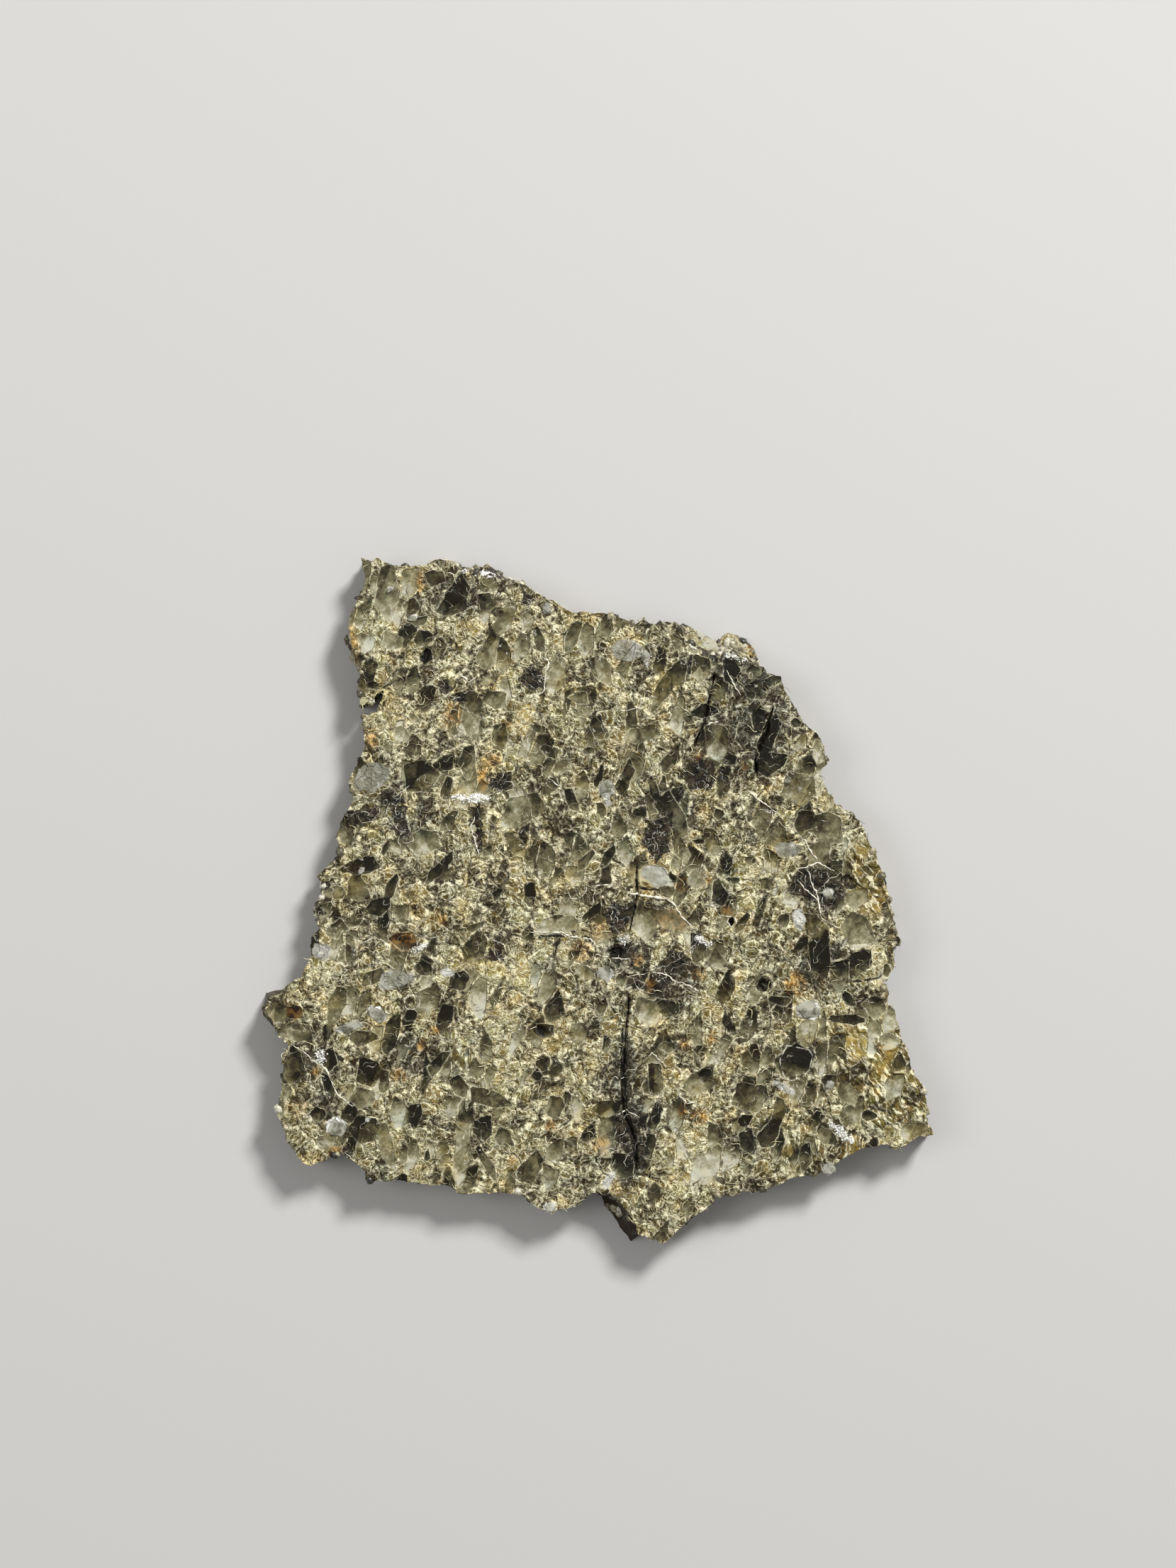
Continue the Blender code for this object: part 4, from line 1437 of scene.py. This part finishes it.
    def cracked(self, graph: StoneGraph, colour: Socket) -> Socket:
        """Darkens a colour in the cracks and hairlines, partly their dark filling and partly painted shade,
        and browns it on the broken wall, more so where painted shadow falls.

        Args:
            graph: The material's graph.
            colour: What is darkened.

        Returns:
            The darker colour.
        """
        # The open cracks are painted near black: partly the dark matter in them, partly painted shade in the
        # grooves.
        crack = graph.step(graph.ground(Ground.CRACK), 0.45, 0.95)
        crack = graph.times(crack, graph.step(graph.wave, 0.38, 0.50, 0.45, 1.0))
        dark = graph.most(graph.mask(Ground.SLIT, self.slit_fray), crack)
        colour = graph.mix(graph.times(dark, 0.95), colour, self.crack)
        # The wall's own umber, deepened into painted shadow where the shade field is low.
        umber_and_painted_shade = graph.step(graph.shade, -0.6, -0.1, 0.95, 0.30)
        return graph.mix(graph.times(graph.ground(Ground.WALL), umber_and_painted_shade), colour, self.umber)


@dataclass(frozen=True)
class FragmentFinish:
    """The finish of the small loose shapes: a row of tones, one picked for each shape, with fine grain."""

    name: str
    tones: Tones
    roughness: float = 0.6
    unevenness: float = 0.12
    grain: float = 0.00001

    def material(self) -> bpy.types.Material:
        """Builds the finish.

        Returns:
            The material, which reads each shape's own tone.
        """
        made = empty_material(self.name)
        graph = Graph(made.node_tree)
        wave = graph.noise(graph.place(), 9.0, 2.0, 0.6).outputs["Fac"]
        tone = graph.total(graph.attribute(TONE_SHARE), graph.step(wave, 0.3, 0.7, -0.2, 0.2))
        dull, sharp = self.roughness - self.unevenness, self.roughness + self.unevenness
        roughness = graph.step(wave, 0.3, 0.7, dull, sharp)
        graph.surface(graph.ramp(tone, self.tones), roughness, graph.bump(wave, self.grain))
        return made


@dataclass(frozen=True)
class ClearFinish:
    """The clear grains: part glass, clouded with grey, with an uneven skin."""

    name: str = "clear_grain"
    colour: Colour = (0.76, 0.745, 0.62)
    shade: Colour = (0.200, 0.190, 0.130)
    clearness: float = 0.60
    roughness: float = 0.20
    index: float = 1.54
    grain: float = 0.00002

    def material(self) -> bpy.types.Material:
        """Builds the finish.

        Returns:
            The material, part of whose light passes through it.
        """
        made = bpy.data.materials.new(self.name)
        made.use_nodes = True
        graph = Graph(made.node_tree)
        shader = made.node_tree.nodes["Principled BSDF"]
        shader.inputs["Roughness"].default_value = self.roughness
        shader.inputs["IOR"].default_value = self.index
        shader.inputs["Transmission Weight"].default_value = self.clearness
        position = graph.place()
        wave = graph.noise(position, 6.0, 2.0, 0.6).outputs["Fac"]
        cloud = graph.noise(position, 2.6, 3.0, 0.6).outputs["Fac"]
        veiled = graph.mix(graph.step(cloud, 0.36, 0.60), self.shade, self.colour)
        graph.feed(shader.inputs["Base Color"], veiled)
        graph.feed(shader.inputs["Normal"], graph.bump(wave, self.grain))
        return made


PALE_TONES: Tones = (
    (0.0, (0.42, 0.39, 0.29)),
    (0.5, (0.66, 0.63, 0.50)),
    (1.0, (0.86, 0.84, 0.74)),
)
NOODLE_TONES: Tones = (
    (0.0, (0.10, 0.080, 0.036)),
    (0.4, (0.28, 0.24, 0.105)),
    (0.8, (0.60, 0.54, 0.31)),
    (1.0, (0.80, 0.75, 0.54)),
)
CRUST_TONES: Tones = (
    (0.0, (0.55, 0.53, 0.45)),
    (0.5, (0.80, 0.79, 0.72)),
    (1.0, (0.92, 0.91, 0.87)),
)
CRUMB_TONES: Tones = (
    (0.0, (0.012, 0.011, 0.009)),
    (0.35, (0.085, 0.075, 0.045)),
    (0.6, (0.21, 0.18, 0.10)),
    (0.85, (0.38, 0.35, 0.24)),
    (1.0, (0.60, 0.58, 0.48)),
)


def geometry_group(name: str, inputs: dict[str, str]) -> GroupGraph:
    """Starts a Geometry Nodes tree that takes and gives a geometry.

    Args:
        name: What the tree makes.
        inputs: Each further input's name and the last word of its socket type.

    Returns:
        The tree's graph, whose inputs end with the material.
    """
    tree = bpy.data.node_groups.new(name, "GeometryNodeTree")
    for key, kind in {"Geometry": "Geometry", **inputs, "Material": "Material"}.items():
        tree.interface.new_socket(key, in_out="INPUT", socket_type="NodeSocket" + kind)
    tree.interface.new_socket("Geometry", in_out="OUTPUT", socket_type="NodeSocketGeometry")
    return GroupGraph(tree, tree.nodes.new("NodeGroupInput"), tree.nodes.new("NodeGroupOutput"))


def finished_tree(group: GroupGraph, geometry: Socket) -> bpy.types.NodeTree:
    """Ends a tree in Realize Instances and Set Material.

    Args:
        group: The tree's graph.
        geometry: The geometry that it has made.

    Returns:
        The finished tree.
    """
    real = group.node("GeometryNodeRealizeInstances", {0: geometry}).outputs[0]
    inputs = {0: real, "Material": group.input("Material")}
    return group.give({"Geometry": group.node("GeometryNodeSetMaterial", inputs).outputs[0]})


def moved_points(group: GroupGraph, geometry: Socket, offset: Socket) -> Socket:
    """A geometry with each of its points moved by an offset."""
    inputs = {"Geometry": geometry, "Offset": offset}
    return group.node("GeometryNodeSetPosition", inputs).outputs[0]


def toned_shapes(group: GroupGraph, geometry: Socket, tone: Socket, domain: str) -> Socket:
    """Stores the tone that the fragments' finish reads.

    Args:
        group: The tree's graph.
        geometry: What the tone is stored on.
        tone: The tone, from 0 to 1.
        domain: Whether each point or each instance keeps its own.

    Returns:
        The geometry with the tone.
    """
    inputs = {"Geometry": geometry, "Name": TONE_SHARE, "Value": tone}
    kind = "GeometryNodeStoreNamedAttribute"
    return group.node(kind, inputs, data_type="FLOAT", domain=domain).outputs[0]


def frozen_piece(
    name: str, source: bpy.types.Object, tree: bpy.types.NodeTree, values: dict[str, object]
) -> bpy.types.Object:
    """Runs a Geometry Nodes tree over a source and keeps the result as a plain mesh piece of the stone.

    Args:
        name: The piece's name.
        source: The object that the tree works on, which is removed.
        tree: The tree.
        values: The tree's inputs by name.

    Returns:
        The piece, riding on the slab's body and kept to its box.
    """
    modifier = source.modifiers.new("nodes", "NODES")
    modifier.node_group = tree
    sockets = {item.name: item.identifier for item in tree.interface.items_tree if item.in_out == "INPUT"}
    for key, value in values.items():
        modifier[sockets[key]] = value
    bpy.context.view_layer.update()
    seen = source.evaluated_get(bpy.context.evaluated_depsgraph_get())
    mesh = bpy.data.meshes.new_from_object(seen)
    mesh.name = name
    bpy.data.objects.remove(source)
    places = np.zeros(len(mesh.vertices) * 3, np.float32)
    mesh.vertices.foreach_get("co", places)
    places = kept_to_box(places.reshape(-1, 3), PIECE_RISE)
    mesh.vertices.foreach_set("co", places.astype(np.float32).ravel())
    mesh.update()
    piece = linked_object(name, mesh)
    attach(piece, "root")
    LOG.info("%s: %d faces", name, len(mesh.polygons))
    return piece


@dataclass(frozen=True)
class Scatter:
    """Small shapes scattered over one bed of the skin, half sunk into it. Lengths are millimetres."""

    name: str
    bed: Bed
    density: float
    smallest: float
    largest: float
    sink: float
    tumble: float
    seed: int

    def build(
        self, skin: bpy.types.Object, shape: bpy.types.Object, material: bpy.types.Material
    ) -> bpy.types.Object:
        """Scatters the shapes.

        Args:
            skin: The stone's skin, which carries the bed's field.
            shape: The shape, about one metre across.
            material: Its finish.

        Returns:
            The piece with all of them.
        """
        source = linked_object(self.name + "_bed", skin.data.copy())
        values = {
            "Bed": self.bed.value, "Density": self.density / MM**2, "Smallest": self.smallest * MM,
            "Largest": self.largest * MM, "Sink": self.sink * MM, "Tumble": self.tumble, "Seed": self.seed,
            "Shape": shape, "Material": material,
        }
        piece = frozen_piece(self.name, source, scatter_tree(), values)
        piece.data.shade_smooth()
        return piece


NOODLES = Scatter(
    name="khaki_noodles", bed=Bed.NOODLES, density=24.0, smallest=0.18, largest=0.46, sink=0.004,
    tumble=0.35, seed=3,
)
GRANULES = Scatter(
    name="crust_granules", bed=Bed.CRUST, density=420.0, smallest=0.02, largest=0.085, sink=0.004,
    tumble=3.1, seed=9,
)
CRUMBS = Scatter(
    name="rim_crumbs", bed=Bed.RIM, density=18.0, smallest=0.10, largest=0.34, sink=0.030,
    tumble=3.1, seed=21,
)


def random_number(group: GroupGraph, low: object, high: object, salt: float) -> Socket:
    """A random number for each point, drawn from the tree's seed and a salt."""
    inputs = {2: low, 3: high, "Seed": group.total(group.input("Seed"), salt)}
    return group.node("FunctionNodeRandomValue", inputs, data_type="FLOAT").outputs[1]


def random_vector(group: GroupGraph, low: object, high: object, salt: float) -> Socket:
    """A random vector for each point, drawn from the tree's seed and a salt."""
    inputs = {0: low, 1: high, "Seed": group.total(group.input("Seed"), salt)}
    return group.node("FunctionNodeRandomValue", inputs, data_type="FLOAT_VECTOR").outputs[0]


def scatter_tree() -> bpy.types.NodeTree:
    """The tree that scatters one shape over a bed, each copy with its own turn, size and tone.

    Returns:
        The tree, made once and used again.
    """
    if "scatter" in bpy.data.node_groups:
        return bpy.data.node_groups["scatter"]
    group = geometry_group(
        "scatter",
        {
            "Bed": "String", "Density": "Float", "Smallest": "Float", "Largest": "Float", "Sink": "Float",
            "Tumble": "Float", "Seed": "Int", "Shape": "Object",
        },
    )
    tumble = group.input("Tumble")
    named = group.node("GeometryNodeInputNamedAttribute", {"Name": group.input("Bed")}, data_type="FLOAT")
    density = group.times(named.outputs[0], group.input("Density"))
    spread = group.node(
        "GeometryNodeDistributePointsOnFaces",
        {"Mesh": group.input("Geometry"), "Density": density, "Seed": group.input("Seed")},
    )
    down = group.scaled(spread.outputs["Normal"], group.times(group.input("Sink"), -1.0))
    back = group.times(tumble, -1.0)
    low = group.node("ShaderNodeCombineXYZ", {"X": back, "Y": back, "Z": 0.0}).outputs[0]
    high = group.node("ShaderNodeCombineXYZ", {"X": tumble, "Y": tumble, "Z": math.tau}).outputs[0]
    turn = group.node("FunctionNodeEulerToRotation", {0: random_vector(group, low, high, 0.0)}).outputs[0]
    turned = group.node(
        "FunctionNodeRotateRotation", {0: spread.outputs["Rotation"], 1: turn}, rotation_space="LOCAL"
    ).outputs[0]
    size = random_number(group, group.input("Smallest"), group.input("Largest"), 1.0)
    bow = random_vector(group, (0.8, -1.5, 0.8), (1.2, 1.5, 1.2), 2.0)
    shape = group.node("GeometryNodeObjectInfo", {"Object": group.input("Shape")})
    placed = group.node(
        "GeometryNodeInstanceOnPoints",
        {
            "Points": moved_points(group, spread.outputs["Points"], down),
            "Instance": shape.outputs["Geometry"], "Rotation": turned, "Scale": group.scaled(bow, size),
        },
    ).outputs[0]
    tone = random_number(group, 0.0, 1.0, 3.0)
    return finished_tree(group, toned_shapes(group, placed, tone, "INSTANCE"))


def noodle_shape(steps: int = 5, sides: int = 3, thickness: float = 0.034) -> bpy.types.Object:
    """A short bowed thread, one metre long, with closed ends.

    Args:
        steps: How many lengths it has.
        sides: How many sides.
        thickness: Its radius at the middle, in metres.

    Returns:
        The shape as an object.
    """
    rings = []
    for step in range(steps + 1):
        t = 2.0 * step / steps - 1.0
        middle = Vector((0.5 * t, 0.17 * math.sin(2.6 * t + 0.9), 0.05 * (1 - t * t)))
        radius = thickness * (1.0 - 0.55 * t * t)
        rings.append([
            middle + Vector((0.0, math.cos(a), math.sin(a))) * radius
            for a in (math.tau * side / sides for side in range(sides))
        ])
    corners = [corner for ring in rings for corner in ring]
    faces = [
        (r * sides + k, (r + 1) * sides + k, (r + 1) * sides + (k + 1) % sides, r * sides + (k + 1) % sides)
        for r in range(steps) for k in range(sides)
    ]
    faces.append(tuple(range(sides)))
    faces.append(tuple(reversed(range(steps * sides, (steps + 1) * sides))))
    mesh = bpy.data.meshes.new("noodle")
    mesh.from_pydata(corners, [], faces)
    whole = bmesh.new()
    whole.from_mesh(mesh)
    bmesh.ops.recalc_face_normals(whole, faces=whole.faces)
    whole.to_mesh(mesh)
    whole.free()
    return linked_object("noodle", mesh)


def crumb_shape(seed: int = 5) -> bpy.types.Object:
    """An angular crumb, one metre across.

    Args:
        seed: What its corners are drawn from.

    Returns:
        The shape as an object.
    """
    chance = random.Random(seed)
    whole = bmesh.new()
    bmesh.ops.create_icosphere(whole, subdivisions=1, radius=0.5)
    for corner in whole.verts:
        corner.co *= chance.uniform(0.72, 1.12)
    mesh = bpy.data.meshes.new("crumb")
    whole.to_mesh(mesh)
    whole.free()
    return linked_object("crumb", mesh)


@dataclass(frozen=True)
class SawnFace:
    """The upper side of the skin as a search tree, on which threads and grains are set down."""

    tree: BVHTree
    above: float = 5.0
    lowest: float = 0.8

    def under(self, x: float, y: float) -> Vector | None:
        """Where a place given in millimetres meets the sawn face, in metres, or None beside the face."""
        hit = self.tree.ray_cast(Vector((x * MM, y * MM, self.above * MM)), Vector((0, 0, -1)))[0]
        return hit if hit is not None and hit.z > self.lowest * MM else None


def sawn_face(skin: bpy.types.Object) -> SawnFace:
    """The upper side of the stone's skin, ready to be searched."""
    corners = [vertex.co for vertex in skin.data.vertices]
    return SawnFace(BVHTree.FromPolygons(corners, [tuple(p.vertices) for p in skin.data.polygons]))


@dataclass(frozen=True)
class Threads:
    """White veins of the sawn face, and the fine threads that wander over the dark melt."""

    step: float = 0.09
    thinning: float = 0.72
    end_thickness: float = 0.35
    wander: float = 0.080
    sides: int = 6
    strays_each: int = 3
    stray_radius: float = 0.009
    stray_step: float = 0.11
    seed: int = 17

    def build(self, skin: bpy.types.Object, material: bpy.types.Material) -> bpy.types.Object:
        """Lays the veins and stray threads on the skin.

        Args:
            skin: The stone's skin.
            material: The threads' finish.

        Returns:
            The piece with all of them.
        """
        face = sawn_face(skin)
        data = bpy.data.curves.new("threads", "CURVE")
        data.dimensions = "3D"
        for radius, path in [*VEINS, *self.strays()]:
            self.lay(data, face, radius, path)
        source = linked_object("threads_source", data)
        values = {
            "Step": self.step * MM * 0.5, "Wander": self.wander * MM, "Sides": self.sides,
            "Material": material,
        }
        piece = frozen_piece("pale_veins", source, thread_tree(), values)
        piece.data.shade_smooth()
        return piece

    def strays(self) -> list[tuple[float, Path]]:
        """Seeded wandering paths over each dark patch.

        Returns:
            The radius at the middle and the corners of each.
        """
        chance = random.Random(self.seed)
        found = []
        for patch in patches(MELT):
            for _ in range(self.strays_each):
                x = patch.x + chance.uniform(-0.5, 0.5) * patch.half_length
                y = patch.y + chance.uniform(-0.5, 0.5) * patch.half_width
                heading = chance.uniform(0, math.tau)
                path = [(x, y)]
                for _ in range(chance.randint(4, 8)):
                    heading += chance.gauss(0, 0.6)
                    x += self.stray_step * math.cos(heading)
                    y += self.stray_step * math.sin(heading)
                    path.append((x, y))
                found.append((self.stray_radius * chance.uniform(0.7, 1.4), tuple(path)))
        return found

    def lay(self, data: bpy.types.Curve, face: SawnFace, radius: float, path: Path) -> None:
        """Adds one path to the curve, dropped onto the skin and thin at its ends.

        Args:
            data: The curve.
            face: The sawn face that it lies on.
            radius: The thread's radius at its middle, in millimetres.
            path: Its corners in the catalogue's place.
        """
        corners = [Vector(corner) - Vector(FACE_SHIFT) for corner in path]
        points = []
        for a, b in zip(corners, corners[1:]):
            count = max(1, round((b - a).length / self.step))
            points.extend(a.lerp(b, k / count) for k in range(count))
        points.append(corners[-1])
        hits = [face.under(point.x, point.y) for point in points]
        placed = [hit for hit in hits if hit is not None]
        if len(placed) < 3:
            return
        spline = data.splines.new("POLY")
        spline.points.add(len(placed) - 1)
        for index, (place, point) in enumerate(zip(placed, spline.points)):
            swell = (1 - self.end_thickness) * math.sin(math.pi * index / (len(placed) - 1))
            point.co = (*place, 1.0)
            point.radius = self.thinning * radius * MM * (self.end_thickness + swell)


def thread_tree() -> bpy.types.NodeTree:
    """The tree that turns paths into round threads of uneven thickness.

    Returns:
        The tree.
    """
    group = geometry_group("raised_threads", {"Step": "Float", "Wander": "Float", "Sides": "Int"})
    curve = group.node(
        "GeometryNodeResampleCurve", {"Curve": group.input("Geometry"), "Length": group.input("Step")},
        mode="LENGTH",
    ).outputs[0]
    place = group.scaled(group.node("GeometryNodeInputPosition").outputs[0], 1.0 / MM)
    wave = group.node("ShaderNodeTexNoise", {"Vector": place, "Scale": 6.5, "Detail": 2.5})
    bend = group.vector("SUBTRACT", wave.outputs["Color"], MIDDLE)
    bend = group.vector("MULTIPLY", bend, (2.0, 2.0, 0.25))
    curve = moved_points(group, curve, group.scaled(bend, group.input("Wander")))
    swell = group.step(wave.outputs["Fac"], 0.35, 0.65, 0.3, 1.7)
    scale = group.times(group.node("GeometryNodeInputRadius").outputs[0], swell)
    circle = {"Resolution": group.input("Sides"), "Radius": 1.0}
    ring = group.node("GeometryNodeCurvePrimitiveCircle", circle)
    tube = group.node(
        "GeometryNodeCurveToMesh",
        {"Curve": curve, "Profile Curve": ring.outputs[0], "Scale": scale, "Fill Caps": True},
    ).outputs[0]
    return finished_tree(group, toned_shapes(group, tube, wave.outputs["Fac"], "POINT"))


@dataclass(frozen=True)
class ClearGrains:
    """The brightest grains as low tablets with a flat top, half sunk in the face."""

    height: float = 0.120
    sink: float = 0.020
    cover: float = 0.86
    rounds: int = 2
    top: float = 0.42
    uneven: float = 0.50
    least_brightness: float = 0.65
    name: str = "clear_grains"

    def build(self, skin: bpy.types.Object, material: bpy.types.Material) -> bpy.types.Object:
        """Sets one tablet on each bright patch.

        Args:
            skin: The stone's skin.
            material: The grains' finish.

        Returns:
            The piece with all of them.
        """
        face = sawn_face(skin)
        places, sizes, turns = [], [], []
        for patch in patches(BRIGHT):
            hit = face.under(patch.x - FACE_SHIFT[0], patch.y - FACE_SHIFT[1])
            if patch.value < self.least_brightness or hit is None:
                continue
            places.append((hit.x, hit.y, hit.z - self.sink * MM))
            across = (patch.half_length * self.cover * MM, patch.half_width * self.cover * MM)
            sizes.append((*across, self.height * MM))
            turns.append(math.radians(patch.turn))
        mesh = bpy.data.meshes.new(self.name + "_places")
        mesh.from_pydata(places, [], [])
        size = mesh.attributes.new("grain_size", "FLOAT_VECTOR", "POINT")
        size.data.foreach_set("vector", np.array(sizes).ravel())
        mesh.attributes.new("grain_turn", "FLOAT", "POINT").data.foreach_set("value", turns)
        source = linked_object(self.name + "_source", mesh)
        values = {"Rounds": self.rounds, "Top": self.top, "Uneven": self.uneven, "Material": material}
        return frozen_piece(self.name, source, grain_tree(), values)


def grain_tree() -> bpy.types.NodeTree:
    """The tree that sets a faceted tablet on each point, by the point's own size and turn.

    Returns:
        The tree.
    """
    group = geometry_group("set_grains", {"Rounds": "Int", "Top": "Float", "Uneven": "Float"})
    ball = group.node("GeometryNodeMeshIcoSphere", {"Radius": 1.0, "Subdivisions": group.input("Rounds")})
    stored = "GeometryNodeInputNamedAttribute"
    size = group.node(stored, {"Name": "grain_size"}, data_type="FLOAT_VECTOR").outputs[0]
    turn = group.node(stored, {"Name": "grain_turn"}, data_type="FLOAT").outputs[0]
    euler = group.node("ShaderNodeCombineXYZ", {"Z": turn}).outputs[0]
    corner = group.node("ShaderNodeSeparateXYZ", {0: group.node("GeometryNodeInputPosition").outputs[0]})
    level = group.calculate("MINIMUM", corner.outputs["Z"], group.input("Top"))
    flat_top = group.node(
        "ShaderNodeCombineXYZ", {"X": corner.outputs["X"], "Y": corner.outputs["Y"], "Z": level}
    ).outputs[0]
    tablet = group.node("GeometryNodeSetPosition", {"Geometry": ball.outputs[0], "Position": flat_top})
    placed = group.node(
        "GeometryNodeInstanceOnPoints",
        {
            "Points": group.input("Geometry"), "Instance": tablet.outputs[0], "Scale": size,
            "Rotation": group.node("FunctionNodeEulerToRotation", {0: euler}).outputs[0],
        },
    ).outputs[0]
    real = group.node("GeometryNodeRealizeInstances", {0: placed}).outputs[0]
    place = group.scaled(group.node("GeometryNodeInputPosition").outputs[0], 1.0 / MM)
    wave = group.node("ShaderNodeTexNoise", {"Vector": place, "Scale": 3.2, "Detail": 1.0}).outputs["Color"]
    bend = group.vector("MULTIPLY", group.vector("SUBTRACT", wave, MIDDLE), (1.0, 1.0, 0.18))
    offset = group.scaled(bend, group.times(group.input("Uneven"), MM))
    return finished_tree(group, moved_points(group, real, offset))


@dataclass(frozen=True)
class Studio:
    """A pale floor, soft lamps and a camera straight above the sawn face."""

    view_centre: tuple[float, float] = (-0.265, 3.775)
    lens: float = 85.0
    camera_height: float = 119.8
    nearest: float = 0.005
    farthest: float = 10.0
    floor_size: float = 1.2
    floor_colour: Colour = (0.50, 0.49, 0.475)
    floor_roughness: float = 0.9
    sky: float = 0.34
    key_power: float = 1.50
    fill_power: float = 0.22

    def build(self) -> None:
        """Adds the camera, the floor, the sky and the lamps."""
        scene = bpy.context.scene
        scene.view_settings.view_transform = "Standard"
        data = bpy.data.cameras.new("camera")
        data.lens = self.lens
        data.clip_start = self.nearest
        data.clip_end = self.farthest
        camera = linked_object("camera", data)
        camera.location = (self.view_centre[0] * MM, self.view_centre[1] * MM, self.camera_height * MM)
        scene.camera = camera
        self.floor()
        world = bpy.data.worlds.new("sky")
        world.use_nodes = True
        backdrop = world.node_tree.nodes["Background"]
        backdrop.inputs["Color"].default_value = (1.0, 1.0, 1.0, 1.0)
        backdrop.inputs["Strength"].default_value = self.sky
        scene.world = world
        self.lamp("key", (150.0, 215.0, 190.0), 70.0, self.key_power)
        self.lamp("fill", (-210.0, 30.0, 200.0), 150.0, self.fill_power)

    def floor(self) -> None:
        """Adds the plain floor that the slice lies on."""
        half = self.floor_size / 2
        corners = [(-half, -half, 0), (half, -half, 0), (half, half, 0), (-half, half, 0)]
        mesh = bpy.data.meshes.new("floor")
        mesh.from_pydata(corners, [], [(0, 1, 2, 3)])
        material = bpy.data.materials.new("floor")
        material.use_nodes = True
        shader = material.node_tree.nodes["Principled BSDF"]
        shader.inputs["Base Color"].default_value = (*self.floor_colour, 1)
        shader.inputs["Roughness"].default_value = self.floor_roughness
        mesh.materials.append(material)
        floor = linked_object("floor", mesh)

    def lamp(self, name: str, place: tuple[float, float, float], size: float, power: float) -> None:
        """Adds a square soft lamp that faces the slice.

        Args:
            name: The lamp's name.
            place: Where it stands, in millimetres.
            size: Its side in millimetres.
            power: Its power in watts.
        """
        data = bpy.data.lights.new(name, "AREA")
        data.size = size * MM
        data.energy = power
        lamp = linked_object(name, data)
        lamp.location = Vector(place) * MM
        lamp.rotation_euler = (-lamp.location).to_track_quat("-Z", "Y").to_euler()


def main() -> None:
    """Builds the slice and the studio in order."""
    logging.basicConfig(level=logging.INFO)
    stone = StoneSkin().build(StoneFinish().material())
    LOG.info("%s: %d faces", stone.name, len(stone.data.polygons))
    Threads().build(stone, FragmentFinish("pale_vein", PALE_TONES).material())
    ClearGrains().build(stone, ClearFinish().material())
    noodle = noodle_shape()
    crumb = crumb_shape()
    scatters = (
        (NOODLES, noodle, FragmentFinish("noodle", NOODLE_TONES, roughness=0.55)),
        (GRANULES, crumb, FragmentFinish("crust", CRUST_TONES, roughness=0.7)),
        (CRUMBS, crumb, FragmentFinish("rim_crumb", CRUMB_TONES, roughness=0.45)),
    )
    for scatter, shape, finish in scatters:
        scatter.build(stone, shape, finish.material())
    bpy.data.objects.remove(noodle)
    bpy.data.objects.remove(crumb)
    Studio().build()


if __name__ == "__main__":
    main()
